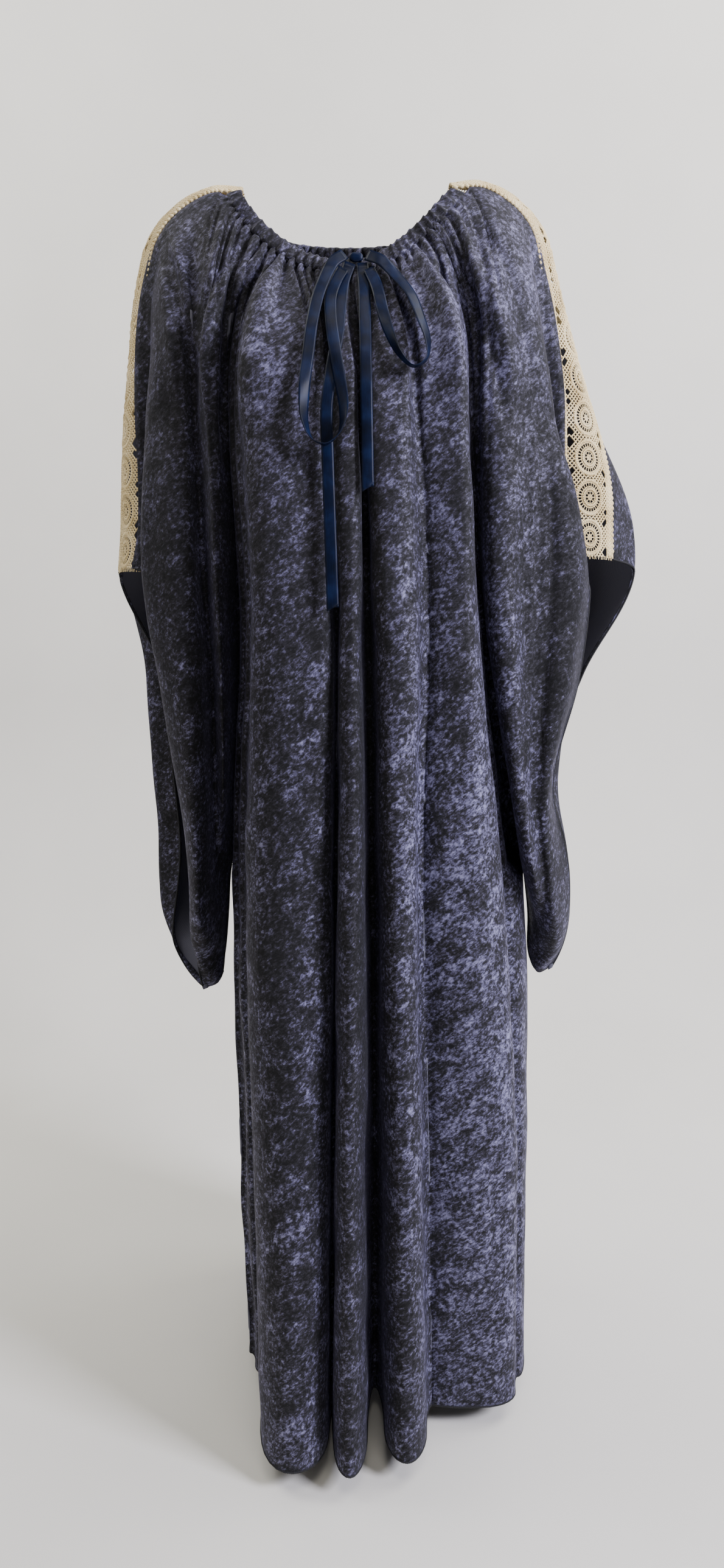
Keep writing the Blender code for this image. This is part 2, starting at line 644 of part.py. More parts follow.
def make_knot(name, finish):
    """The wrapped middle of the bow, a small flattened roll."""
    x, z = KNOT_PLACE
    y = ribbon_lie(z) + KNOT_SEAT - 0.5 * KNOT_SIZE[1]
    bm = bmesh.new()
    bmesh.ops.create_uvsphere(bm, u_segments=12, v_segments=6, radius=0.5)
    for vert in bm.verts:
        for axis in range(3):
            size = KNOT_SIZE[axis]
            reach = 2 * abs(vert.co[axis])
            vert.co[axis] = math.copysign(0.5 * reach**0.8, vert.co[axis]) * size
        vert.co += type(vert.co)((x, y, z))
        vert.co *= MM
    mesh = bpy.data.meshes.new(name)
    bm.to_mesh(mesh)
    bm.free()
    mesh.materials.append(finish)
    mesh.shade_smooth()
    obj = bpy.data.objects.new(name, mesh)
    GOWN.objects.link(obj)
    return obj


for leftover in list(bpy.data.objects):
    bpy.data.objects.remove(leftover, do_unlink=True)
GOWN = bpy.data.collections.new("gown")
bpy.context.scene.collection.children.link(GOWN)

velvet = material("crushed velvet", (0.035, 0.033, 0.075), 0.55)
crochet = material("cotton crochet lace", (0.78, 0.70, 0.55), 0.85)
satin = material("satin ribbon", (0.012, 0.035, 0.10), 0.35)

make_panel("front_panel", FRONT_BODY, LEFT_WING_FRONT, RIGHT_WING_FRONT, FRONT_STEPS, -1, velvet)
make_panel("back_panel", BACK_BODY, LEFT_WING_BACK, RIGHT_WING_BACK, BACK_STEPS, 1, velvet)
make_lace("lace_left", LACE_LEFT, crochet)
make_lace("lace_right", LACE_RIGHT, crochet)
make_casing("neck_casing_front", -1, 48, velvet)
make_casing("neck_casing_back", 1, 32, velvet)
make_knot("ribbon_knot", satin)
make_ribbon("ribbon_loop_left", LEFT_LOOP, satin)
make_ribbon("ribbon_loop_right", RIGHT_LOOP, satin)
make_ribbon("ribbon_tail_left", LEFT_TAIL, satin, slanted_end=True)
make_ribbon("ribbon_tail_right", RIGHT_TAIL, satin, slanted_end=True)
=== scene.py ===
"""The looks of a floor-length velvet kaftan gown with lace insertions, wing sleeves and a drawstring bow."""

import math

import bmesh
import bpy
import numpy as np
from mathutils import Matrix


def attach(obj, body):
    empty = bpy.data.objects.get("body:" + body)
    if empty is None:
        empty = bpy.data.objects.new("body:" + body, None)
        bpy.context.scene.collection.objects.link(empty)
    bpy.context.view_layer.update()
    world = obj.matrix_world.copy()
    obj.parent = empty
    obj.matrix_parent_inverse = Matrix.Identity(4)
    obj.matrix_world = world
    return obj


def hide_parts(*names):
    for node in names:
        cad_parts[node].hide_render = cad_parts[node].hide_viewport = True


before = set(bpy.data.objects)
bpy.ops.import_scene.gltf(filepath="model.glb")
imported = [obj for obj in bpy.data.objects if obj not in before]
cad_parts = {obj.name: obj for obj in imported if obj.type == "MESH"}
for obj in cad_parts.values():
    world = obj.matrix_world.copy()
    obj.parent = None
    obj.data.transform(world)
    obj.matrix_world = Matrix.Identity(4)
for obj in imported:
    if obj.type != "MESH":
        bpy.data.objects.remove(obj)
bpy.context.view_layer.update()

# Lace insertions
# Two bands of cream cotton crochet lace, 90 mm wide, each a row of round medallions between dense
# borders with a scalloped edge. They run from the neck over the shoulder to the elbow, on top of the velvet.
MM = 0.001
LACE_HALF_WIDTH = 45.0
LACE_REPEATS = 11
LACE_LEFT = (
    # x, y, z: middle of the band in mm; turn: degrees that it faces forward; curl: half angle of its arch
    (-123, 0, -6, 0, 0.75),
    (-160, 0, -6, 0, 0.80),
    (-206, 0, -30, 0, 0.85),
    (-233, 0, -63, 2, 0.85),
    (-245, 0, -100, 5, 0.85),
    (-253, -1, -140, 9, 0.85),
    (-259, -4, -195, 16, 0.82),
    (-264, -7, -250, 24, 0.76),
    (-266, -9, -320, 32, 0.66),
    (-267, -9, -375, 33, 0.50),
    (-272, -7, -416, 30, 0.38),
)
LACE_RIGHT = (
    # x, y, z, turn, curl
    (101, 0, -2, 0, 0.75),
    (137, 0, 0, 0, 0.80),
    (172, 0, -14, 2, 0.85),
    (198, 0, -36, 4, 0.85),
    (213, 0, -58, 7, 0.85),
    (223, -2, -92, 12, 0.85),
    (234, -4, -132, 19, 0.83),
    (246, -8, -180, 30, 0.80),
    (257, -13, -230, 42, 0.74),
    (262, -19, -277, 54, 0.64),
    (265, -24, -330, 62, 0.54),
    (266, -24, -372, 62, 0.46),
    (268, -24, -402, 60, 0.40),
)


def unit(vectors):
    vectors = np.asarray(vectors, float)
    return vectors / np.linalg.norm(vectors, axis=-1, keepdims=True)


def slopes(places, values):
    """Slope at each place of a curve with no kinks through the values."""
    steps = np.diff(values, axis=-1) / np.diff(places, axis=-1)
    inner = 0.5 * (steps[..., 1:] + steps[..., :-1])
    return np.concatenate([steps[..., :1], inner, steps[..., -1:]], axis=-1)


def smooth_between(t, start, end, start_pull, end_pull):
    """A share t of the way along a curve that leaves and arrives with the given pulls."""
    return (
        (2 * t**3 - 3 * t**2 + 1) * start
        + (t**3 - 2 * t**2 + t) * start_pull
        + (3 * t**2 - 2 * t**3) * end
        + (t**3 - t**2) * end_pull
    )


def lengths_along(points):
    """How far along a line each of its points lies."""
    return np.concatenate([[0.0], np.cumsum(np.linalg.norm(np.diff(points, axis=0), axis=1))])


def table_length(table):
    return lengths_along(np.asarray(table, float)[:, :3])[-1]


def along(table, share):
    """Points a share of the way along a smooth curve through the table's rows."""
    rows = np.asarray(table, float)
    places = lengths_along(rows[:, :3])
    at = np.clip(np.asarray(share, float), 0, 1) * places[-1]
    k = np.clip(np.searchsorted(places, at) - 1, 0, len(places) - 2)
    run = (places[k + 1] - places[k])[..., None]
    t = (at - places[k])[..., None] / run
    slope = slopes(places, rows.T).T
    return smooth_between(t, rows[k], rows[k + 1], slope[k] * run, slope[k + 1] * run)


def lace_surface(table, share, across):
    """Outer face of the band with its normal and the way the cloth leaves it; across runs -1 to 1."""
    share = np.asarray(share, float)
    rows = along(table, share)
    ahead = along(table, np.minimum(share + 0.01, 1))[..., :3]
    behind = along(table, np.maximum(share - 0.01, 0))[..., :3]
    run = unit(ahead - behind)
    outward = -1.0 if table[-1][0] < 0 else 1.0
    face = np.stack([-run[..., 2], np.zeros_like(share), run[..., 0]], axis=-1) * outward
    turn = np.radians(rows[..., 3])
    width = np.stack([np.sin(turn) * outward, np.cos(turn), np.zeros_like(turn)], axis=-1)
    face = unit(face - (face * width).sum(-1, keepdims=True) * width)
    angle = (rows[..., 4] * across)[..., None]
    radius = (LACE_HALF_WIDTH / rows[..., 4])[..., None]
    point = rows[..., :3] + radius * (np.sin(angle) * width + (np.cos(angle) - 1) * face)
    normal = np.cos(angle) * face + np.sin(angle) * width
    leave = np.sign(across)[..., None] * (np.cos(angle) * width - np.sin(angle) * face)
    return point, unit(normal), unit(leave), run


def fill(tree, node, sockets):
    """Gives each of the node's named or numbered sockets a value or a link."""
    for name, value in sockets.items():
        if isinstance(value, bpy.types.NodeSocket):
            tree.links.new(value, node.inputs[name])
        else:
            node.inputs[name].default_value = value


def add(tree, kind, sockets=None, out=0, **settings):
    """Adds a node, fills its sockets and returns one of its outputs; each setting is the node's own."""
    node = tree.nodes.new(kind)
    for name, value in settings.items():
        setattr(node, name, value)
    fill(tree, node, sockets or {})
    return node.outputs[out] if node.outputs else node


def maths(tree, operation, *values):
    return add(tree, "ShaderNodeMath", dict(enumerate(values)), operation=operation)


def noise(tree, place, scale, detail, **more):
    return add(tree, "ShaderNodeTexNoise", {"Vector": place, "Scale": scale, "Detail": detail, **more})


def bumps(tree, height, strength, distance):
    return add(tree, "ShaderNodeBump", {"Strength": strength, "Distance": distance, "Height": height})


def linear(colour):
    """An sRGB hex colour as linear values."""
    parts = [int(colour[start:start + 2], 16) / 255 for start in (1, 3, 5)]
    return (*(part / 12.92 if part <= 0.04045 else ((part + 0.055) / 1.055) ** 2.4 for part in parts), 1.0)


def colours(tree, level, steps):
    """A colour ramp over the level, with its stops from (place, hex colour) pairs."""
    ramp = add(tree, "ShaderNodeValToRGB", {0: level})
    stops = ramp.node.color_ramp.elements
    while len(stops) < len(steps):
        stops.new(0.5)
    for stop, (place, colour) in zip(stops, steps):
        stop.position = place
        stop.color = linear(colour)
    return ramp


def new_material(name):
    made = bpy.data.materials.new(name)
    made.use_nodes = True
    made.node_tree.nodes.clear()
    shader = add(made.node_tree, "ShaderNodeBsdfPrincipled")
    add(made.node_tree, "ShaderNodeOutputMaterial", {0: shader})
    return made, made.node_tree, shader.node


def cotton_crochet():
    """Mercerised cotton crochet: matt cream, a little browner in random patches, with a twisted thread."""
    made, tree, shader = new_material("cotton crochet")
    place = add(tree, "ShaderNodeUVMap", uv_map="cloth")
    thread_twist, wash_marks = 900.0, 28.0
    twist = noise(tree, place, thread_twist, 2.0)
    tone = maths(tree, "ADD", twist, noise(tree, place, wash_marks, 4.0))
    mean = maths(tree, "MULTIPLY", tone, 0.5)
    fill(tree, shader, {
        "Base Color": colours(tree, mean, ((0.32, "#a08658"), (0.48, "#dac593"), (0.66, "#efe0bb"))),
        "Normal": bumps(tree, twist, 0.7, 0.0004),
        "Roughness": 0.85,
        "Sheen Weight": 0.15,
    })
    return made


def new_tree(name, sizes):
    """A Geometry Nodes tree with one mesh output, and its inputs from (name, value) pairs."""
    tree = bpy.data.node_groups.new(name, "GeometryNodeTree")
    tree.interface.new_socket("Geometry", in_out="OUTPUT", socket_type="NodeSocketGeometry")
    kinds = {type(None): "NodeSocketGeometry", int: "NodeSocketInt", float: "NodeSocketFloat"}
    for size, value in sizes:
        socket = tree.interface.new_socket(size, in_out="INPUT", socket_type=kinds[type(value)])
        if value is not None:
            socket.default_value = value
    return tree, add(tree, "NodeGroupInput").node.outputs


def join(tree, pieces):
    joined = add(tree, "GeometryNodeJoinGeometry")
    for piece in pieces:
        tree.links.new(piece, joined.node.inputs[0])
    return joined


def finish_tree(tree, pieces, finish):
    """Joins the pieces into one smooth mesh of one material."""
    whole = add(tree, "GeometryNodeRealizeInstances", {0: join(tree, pieces)})
    whole = add(tree, "GeometryNodeSetShadeSmooth", {0: whole})
    whole = add(tree, "GeometryNodeSetMaterial", {0: whole, "Material": finish})
    add(tree, "NodeGroupOutput", {0: whole})
    return tree


def thread_on(tree, curve, radius, sides=5, flat=1.0):
    """Thread along a curve, in metres, pressed a little flat."""
    wire = add(tree, "GeometryNodeCurvePrimitiveCircle", {"Resolution": sides, "Radius": radius})
    shape = add(tree, "GeometryNodeTransform", {0: wire, "Scale": (1.0, flat, 1.0)})
    return add(tree, "GeometryNodeCurveToMesh", {0: curve, 1: shape, 2: True})


def lace_pattern(finish, round_work):
    """Geometry Nodes tree for a flat strip: its medallions and beads, or the ground that joins them."""
    tree, given = new_tree("crochet lace", (
        ("Repeats", 11),
        ("Pitch", 0.043),
        ("Medallion", 0.0188),
        ("Border", 0.035),
        ("Edge", 0.0424),
        ("Bead Pitch", 0.006),
    ))

    def vector(x=0.0, y=0.0, z=0.0):
        return add(tree, "ShaderNodeCombineXYZ", {0: x, 1: y, 2: z})

    def number(operation, *values):
        return maths(tree, operation, *values)

    def distance(x, y):
        return number("SQRT", number("ADD", number("MULTIPLY", x, x), number("MULTIPLY", y, y)))

    def line(start, end):
        return add(tree, "GeometryNodeCurvePrimitiveLine", {0: start, 1: end})

    def ring(radius, wire, steps):
        circle = add(tree, "GeometryNodeCurvePrimitiveCircle", {"Resolution": steps, "Radius": radius})
        return thread_on(tree, circle, wire, flat=0.8)

    def spoke(start, end, wire):
        return thread_on(tree, line((start, 0, 0), (end, 0, 0)), wire, sides=4)

    def stitch(across, along_edge, deep, place):
        ball = add(tree, "GeometryNodeMeshIcoSphere", {"Radius": 0.001, "Subdivisions": 2})
        return add(tree, "GeometryNodeTransform", {0: ball, 1: place, 3: (across, along_edge, deep)})

    def round_the_middle(piece, count):
        points = add(tree, "GeometryNodePoints", {"Count": count})
        turn = number("MULTIPLY", add(tree, "GeometryNodeInputIndex"), 2 * math.pi / count)
        return add(tree, "GeometryNodeInstanceOnPoints", {0: points, 2: piece, 5: vector(z=turn)})

    def down_the_strip(piece, first, pitch):
        count = number("FLOOR", number("DIVIDE", length, pitch))
        points = add(tree, "GeometryNodeMeshLine", {"Count": count, 2: vector(y=first), 3: vector(y=pitch)})
        return add(tree, "GeometryNodeInstanceOnPoints", {0: points, 2: piece})

    def cord(x, wire):
        steps = add(tree, "GeometryNodeResampleCurve", {0: line(vector(x=x), vector(x=x, y=length)), 2: 120})
        return thread_on(tree, steps, wire, sides=6, flat=0.9)

    length = number("MULTIPLY", given["Repeats"], given["Pitch"])
    half_pitch = number("MULTIPLY", given["Pitch"], 0.5)
    if round_work:
        rings = (
            # radius, thread, steps round
            (given["Medallion"], 0.0014, 36),
            (0.0164, 0.0006, 36),
            (0.0116, 0.0006, 28),
            (0.0092, 0.0011, 28),
            (0.0068, 0.0005, 24),
            (0.0028, 0.0007, 16),
        )
        medallion = join(tree, (
            round_the_middle(stitch(2.1, 1.35, 1.5, vector(x=given["Medallion"])), 48),
            round_the_middle(stitch(1.7, 1.15, 1.3, (0.0092, 0, 0)), 28),
            *(ring(*row) for row in rings),
            round_the_middle(spoke(0.0116, 0.0172, 0.00062), 26),
            round_the_middle(spoke(0.0004, 0.0072, 0.0006), 8),
        ))
        pieces = [down_the_strip(medallion, half_pitch, given["Pitch"])]
        for side in (-1, 1):
            edge = number("MULTIPLY", given["Edge"], side)
            bead = stitch(2.5, 2.9, 2.2, vector(x=edge))
            pieces += [down_the_strip(bead, 0.003, given["Bead Pitch"]), cord(edge, 0.0012)]
        return finish_tree(tree, pieces, finish)

    # Diagonal net that fills what the medallions and the small holes between them leave
    cell, cells = 0.0037, 150
    hole_aside, hole_ahead, hole_radius, selvage = 0.0262, 0.0056, 0.0030, 0.003
    net = add(tree, "GeometryNodeMeshGrid", {0: cell * cells, 1: cell * cells, 2: cells, 3: cells})
    middle = vector(y=number("MULTIPLY", length, 0.5))
    net = add(tree, "GeometryNodeTransform", {0: net, 1: middle, 2: (0, 0, math.radians(45))})
    spot = add(tree, "ShaderNodeSeparateXYZ", {0: add(tree, "GeometryNodeInputPosition")}).node.outputs
    aside = number("ABSOLUTE", spot[0])
    repeat = number("FLOORED_MODULO", spot[1], given["Pitch"])
    ahead = number("ABSOLUTE", number("SUBTRACT", repeat, half_pitch))
    hole_x = number("SUBTRACT", aside, hole_aside)
    hole_y = number("SUBTRACT", ahead, number("SUBTRACT", half_pitch, hole_ahead))
    gone = number("LESS_THAN", distance(aside, ahead), given["Medallion"])
    for test in (
        number("GREATER_THAN", aside, number("SUBTRACT", given["Border"], selvage)),
        number("LESS_THAN", distance(hole_x, hole_y), hole_radius),
        number("LESS_THAN", spot[1], 0.0),
        number("GREATER_THAN", spot[1], length),
    ):
        gone = number("MAXIMUM", gone, test)
    net = add(tree, "GeometryNodeDeleteGeometry", {0: net, 1: gone})
    pieces = [thread_on(tree, add(tree, "GeometryNodeMeshToCurve", {0: net}), 0.00085)]

    # Dense borders: four rows of knots, staggered, between two cords
    for side in (-1, 1):
        border = number("MULTIPLY", given["Border"], side)
        for step, first in ((-0.0036, 0.0005), (-0.0010, 0.0025), (0.0018, 0.0008), (0.0042, 0.0028)):
            knot = stitch(1.9, 2.1, 1.7, vector(x=number("ADD", border, side * step)))
            pieces.append(down_the_strip(knot, first, 0.0041))
        pieces += [cord(number("SUBTRACT", border, side * 0.0052), 0.0009), cord(border, 0.0014)]

    # Frayed end: short loose threads that lean this way and that
    start = vector(x=-0.0405, y=number("SUBTRACT", length, 0.002))
    ends = add(tree, "GeometryNodeMeshLine", {"Count": 46, 2: start, 3: vector(x=0.0018)})
    sine = number("SINE", number("MULTIPLY", add(tree, "GeometryNodeInputIndex"), 2.3))
    lean = vector(z=number("MULTIPLY", sine, 0.5))
    loose = thread_on(tree, line((0, 0, 0), (0, 0.0045, 0)), 0.0003, sides=4)
    pieces.append(add(tree, "GeometryNodeInstanceOnPoints", {0: ends, 2: loose, 5: lean}))
    return finish_tree(tree, pieces, finish)


def run_tree(name, tree, values, start=None):
    """Runs a Geometry Nodes tree on its own object and returns the plain mesh that it makes."""
    carrier = bpy.data.objects.new(name + " carrier", start or bpy.data.meshes.new(name))
    bpy.context.scene.collection.objects.link(carrier)
    modifier = carrier.modifiers.new("tree", "NODES")
    modifier.node_group = tree
    for item in tree.interface.items_tree:
        if item.in_out == "INPUT" and item.name in values:
            modifier[item.identifier] = values[item.name]
    evaluated = carrier.evaluated_get(bpy.context.evaluated_depsgraph_get())
    mesh = bpy.data.meshes.new_from_object(evaluated)
    bpy.data.objects.remove(carrier)
    mesh.name = name
    return mesh


def put_in_scene(name, data):
    obj = bpy.data.objects.new(name, data)
    bpy.context.scene.collection.objects.link(obj)
    return obj


def put_on_gown(name, mesh):
    piece = put_in_scene(name, mesh)
    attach(piece, "root")
    return piece


def tidy_shell(mesh, weld=0.0):
    """Turns every face outward; weld is the distance in metres within which points become one."""
    shell = bmesh.new()
    shell.from_mesh(mesh)
    if weld:
        bmesh.ops.remove_doubles(shell, verts=shell.verts, dist=weld)
    bmesh.ops.recalc_face_normals(shell, faces=shell.faces)
    shell.to_mesh(mesh)
    shell.free()


def lay_cloth_map(mesh, cloth):
    """Gives each corner of each face its place on the cloth, in metres."""
    mesh.uv_layers.new(name="cloth")
    corners = np.empty(len(mesh.loops), int)
    mesh.loops.foreach_get("vertex_index", corners)
    mesh.uv_layers["cloth"].data.foreach_set("uv", cloth[corners].ravel())


def cloth_mesh(name, points, faces, cloth, finish):
    """A smooth mesh of one material from points and their places on the cloth, both in mm."""
    mesh = bpy.data.meshes.new(name)
    mesh.from_pydata((np.asarray(points) * MM).tolist(), [], faces)
    mesh.materials.append(finish)
    lay_cloth_map(mesh, np.asarray(cloth) * MM)
    mesh.shade_smooth()
    return mesh


def sew_lace(name, table, tree):
    """Bends a flat crochet strip over the shoulder and down the sleeve."""
    length = table_length(table) * MM
    sunk = 0.7 * MM
    mesh = run_tree(name, tree, {"Repeats": LACE_REPEATS, "Pitch": length / LACE_REPEATS})
    flat = np.empty(len(mesh.vertices) * 3)
    mesh.vertices.foreach_get("co", flat)
    flat = flat.reshape(-1, 3)
    lay_cloth_map(mesh, flat[:, :2])
    outward = -1.0 if table[-1][0] < 0 else 1.0
    share = flat[:, 1] / length
    across = flat[:, 0] / (LACE_HALF_WIDTH * MM) * outward
    point, normal, _, run = lace_surface(table, share, across)
    beyond = (share - np.clip(share, 0, 1)) * length
    placed = point * MM + normal * (flat[:, 2:] - sunk) + run * beyond[:, None]
    mesh.vertices.foreach_set("co", placed.ravel())
    mesh.update()
    tidy_shell(mesh)
    return put_on_gown(name, mesh)


crochet = cotton_crochet()
medallion_tree = lace_pattern(crochet, round_work=True)
ground_tree = lace_pattern(crochet, round_work=False)
for side_name, table in (("left", LACE_LEFT), ("right", LACE_RIGHT)):
    medallions = sew_lace("medallions_" + side_name, table, medallion_tree)
    ground = sew_lace("lace_ground_" + side_name, table, ground_tree)
    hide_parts("lace_" + side_name)

# Front and back
# Each is one piece of crushed stretch velvet, cut in one with its halves of the wing sleeves. They are
# gathered on the neck, sewn to the lace, whose front border they lap over lower down, and sewn to each
# other down the sides and under the sleeves.
BUST, WAIST, HIP, KNEE, HEM = -250.0, -450.0, -750.0, -1050.0, -1370.0
ELBOW, FOREARM, WRIST, CUFF = -420.0, -540.0, -660.0, -870.0
BODY_STATIONS = (BUST, WAIST, HIP, KNEE, HEM)
WING_STATIONS = (BUST, ELBOW, FOREARM, WRIST, HIP - 10.0, CUFF)
NECK_MIDDLE_X, NECK_HALF_WIDTH, NECK_SIDE_Z = -11.0, 112.0, -24.0
NECK_FRONT_Y, NECK_FRONT_DEEP, NECK_FRONT_DROP = -45.0, 55.0, 84.0
NECK_BACK_Y, NECK_BACK_DEEP, NECK_BACK_DROP = 43.0, 42.0, 16.0
CASING_HEIGHT = 15.0
SEAM_GAP, LACE_SEAM_GAP, SEAM_LEAD, SEAM_OPENS = 0.4, 1.2, 6.0, 60.0
SOLID_WALL = 2.0
VELVET_WALL = 1.4
TUCK_UNDER, TUCK_BEHIND = 4.0, 2.3
LAP_WIDE, LAP_RISE = 13.0, (3.2, 2.0, 2.6)
GATHER_PITCH, GATHER_DEPTH = 10.5, 9.0
MERGED_PITCH, MERGED_DEPTH = 24.0, 10.0
HEM_ROLL = ((0.9, 0.5), (1.2, 1.6), (0.6, 2.6), (-2.0, 3.0), (-6.0, 3.0))
FRONT_BODY = (
    # fold, top, wide, x and y at bust, waist, hip, knee and hem; top: 1 to 2 round the neck
    ("left armhole", 1.25, 6, (-139, -131, -150, -145, -136), (-88, -70, -12, -30, -40)),
    ("left side", 1.28, 10, (-131, -122, -143, -142, -133), (-108, -104, -62, -75, -92)),
    ("side crease", 1.30, 8, (-125, -116, -130, -124, -117), (-120, -122, -100, -116, -126)),
    ("first fold", 1.345, 40, (-82, -71, -69, -67, -69), (-160, -182, -207, -240, -276)),
    ("slit", 1.42, 3, (-30, -21, -22, -26, -29), (-150, -158, -156, -170, -185)),
    ("second fold", 1.455, 18, (-13, -5, -5, -7, -7), (-164, -188, -218, -250, -280)),
    ("recess", 1.50, 8, (6, 11, 17, 20, 21), (-152, -149, -146, -146, -150)),
    ("third fold", 1.56, 22, (27, 36, 44, 51, 55), (-165, -188, -208, -235, -262)),
    ("right crease", 1.62, 10, (64, 75, 72, 80, 88), (-146, -157, -166, -172, -177)),
    ("right panel", 1.69, 30, (102, 110, 120, 134, 140), (-152, -166, -176, -182, -182)),
    ("right side", 1.73, 4, (116, 128, 166, 187, 193), (-122, -116, -98, -118, -132)),
    ("right armhole", 1.75, 14, (124, 140, 198, 208, 209), (-88, -66, -12, -25, -35)),
)
BACK_BODY = (
    # fold, top, wide, x, y
    ("left armhole", 1.10, 6, (-141, -136, -150, -145, -136), (92, 72, -12, -30, -40)),
    ("left side", 1.19, 14, (-120, -114, -130, -132, -130), (120, 112, 58, 50, 55)),
    ("left hollow", 1.27, 12, (-92, -90, -100, -108, -108), (112, 106, 76, 70, 74)),
    ("left fold", 1.36, 22, (-62, -62, -68, -74, -74), (134, 142, 128, 134, 142)),
    ("left trough", 1.44, 9, (-32, -30, -32, -32, -32), (124, 118, 96, 92, 94)),
    ("middle fold", 1.52, 20, (0, 4, 6, 8, 10), (136, 146, 140, 146, 154)),
    ("right trough", 1.60, 9, (34, 38, 42, 48, 50), (124, 118, 94, 90, 92)),
    ("right fold", 1.68, 24, (66, 70, 80, 90, 94), (134, 140, 122, 128, 136)),
    ("right hollow", 1.76, 12, (96, 98, 118, 134, 138), (110, 104, 74, 66, 70)),
    ("right side", 1.84, 5, (116, 120, 166, 182, 184), (112, 104, 52, 46, 50)),
    ("right armhole", 1.90, 14, (128, 140, 198, 208, 209), (92, 72, -12, -25, -35)),
)
LEFT_WING_FRONT = (
    # fold, top, ease, x, y at bust, elbow, forearm, wrist, hip and cuff; top: 0 to 1 up the left lace
    ("hem", 0.00, 40, (-248, -232, -217, -202, -192, -196), (-42, -48, -48, -48, -44, -34)),
    ("edge", 0.17, 110, (-254, -237, -219, -203, -194, -199), (-58, -80, -88, -86, -76, -52)),
    ("crest", 0.62, 160, (-212, -200, -190, -184, -182, -188), (-86, -114, -120, -116, -102, -74)),
    ("fall", 0.80, 150, (-184, -176, -171, -170, -172, -179), (-92, -112, -113, -104, -86, -56)),
    ("crease", 0.93, 150, (-170, -166, -161, -162, -166, -173), (-84, -86, -80, -72, -58, -38)),
    ("second crest", 1.13, 170, (-152, -148, -146, -149, -160, -167), (-112, -120, -112, -92, -42, -24)),
)
RIGHT_WING_FRONT = (
    # as above, but top: 2 to 3 down the right lace
    ("hem", 3.00, 40, (232, 260, 253, 226, 248, 257), (-48, -62, -56, -64, -60, -28)),
    ("crest", 2.55, 90, (214, 238, 230, 212, 222, 240), (-70, -98, -108, -112, -104, -70)),
    ("crease", 2.28, 150, (190, 189, 190, 194, 210, 226), (-86, -104, -110, -114, -106, -66)),
    ("panel", 2.08, 170, (160, 162, 168, 180, 197, 214), (-104, -126, -134, -134, -120, -64)),
    ("inner edge", 1.86, 160, (136, 138, 150, 170, 188, 210), (-106, -118, -122, -118, -98, -42)),
)
LEFT_WING_BACK = (
    # as for the front
    ("hem", 0.00, 12, (-256, -290, -238, -228, -222, -234), (50, 54, 38, 28, 24, 8)),
    ("edge", 0.25, 120, (-268, -278, -265, -257, -252, -247), (62, 70, 60, 50, 44, 26)),
    ("crest", 0.50, 150, (-244, -252, -240, -232, -226, -228), (92, 102, 98, 92, 82, 50)),
    ("crease", 0.70, 150, (-206, -208, -202, -198, -194, -204), (88, 84, 80, 72, 60, 30)),
    ("second crest", 0.92, 170, (-172, -168, -164, -164, -166, -182), (116, 126, 118, 100, 60, 20)),
)
RIGHT_WING_BACK = (
    # as for the front
    ("hem", 3.00, 12, (290, 334, 275, 238, 262, 266), (40, 36, 28, 20, 22, 8)),
    ("edge", 2.75, 60, (304, 333, 278, 252, 262, 264), (48, 54, 58, 48, 42, 24)),
    ("crest", 2.50, 110, (272, 292, 262, 242, 246, 252), (92, 108, 106, 96, 82, 46)),
    ("crease", 2.30, 150, (224, 228, 222, 218, 224, 236), (88, 88, 84, 72, 56, 26)),
    ("second crest", 2.05, 170, (184, 180, 182, 192, 208, 224), (116, 130, 122, 100, 64, 20)),
)
LEFT_UNDERARM = (
    # x, y, z of the seam from the sleeve hem's lowest corner up to the side seam
    (-190, -8, -927),
    (-172, -10, -918),
    (-164, -11, -882),
    (-158, -12, -826),
    (-155, -12, -782),
    (-150, -12, -750),
)
RIGHT_UNDERARM = (
    # x, y, z
    (240, -8, -899),
    (224, -10, -905),
    (213, -11, -884),
    (210, -12, -830),
    (204, -12, -782),
    (198, -12, -750),
)
UNDERARM_EASE, NECK_EASE = 90.0, 170.0
FRONT_CREASES = (
    # height of the ridge or trough, half width, then x and z along it from the top down
    (6.4, 6.5, (
        (-99, -81), (-117, -93), (-131, -112), (-142, -136), (-152, -180), (-157, -221), (-160, -282))),
    (6.0, 6.5, ((-91, -93), (-120, -126), (-136, -170), (-145, -222), (-148, -283))),
    (-7.6, 5.5, ((-100, -79), (-139, -114), (-154, -143), (-161, -170), (-161, -217))),
    (-6.6, 5.5, ((-88, -100), (-112, -134), (-128, -178), (-138, -230), (-141, -290))),
    (5.4, 7.0, ((-195, -76), (-186, -100), (-175, -149), (-161, -214))),
    (-5.4, 6.5, ((-201, -84), (-192, -116), (-182, -160), (-171, -214))),
    (3.4, 6.5, ((-208, -97), (-199, -156), (-190, -224), (-183, -278))),
    (-6.6, 6.0, ((70, -104), (89, -121), (104, -145), (116, -199), (118, -226), (118, -271))),
    (-3.0, 6.0, ((82, -87), (105, -116), (134, -178), (159, -277))),
    (4.6, 7.5, ((92, -78), (118, -104), (146, -160), (168, -250))),
    (-4.6, 7.5, ((118, -62), (150, -98), (172, -160), (186, -240))),
    (3.2, 5.0, ((186, -241), (189, -308), (187, -396), (188, -494), (186, -596), (185, -716))),
    (-2.8, 5.0, ((206, -300), (211, -390), (208, -490), (202, -590), (204, -700))),
    (2.6, 6.0, ((-104, -300), (-100, -420), (-104, -600), (-100, -760), (-96, -1000))),
    (-2.4, 7.0, ((-52, -330), (-46, -500), (-50, -700), (-48, -900))),
    (2.6, 5.0, ((68, -779), (74, -988), (79, -1210))),
    (-2.6, 8.0, ((128, -300), (138, -520), (150, -760), (156, -1040), (160, -1300))),
)
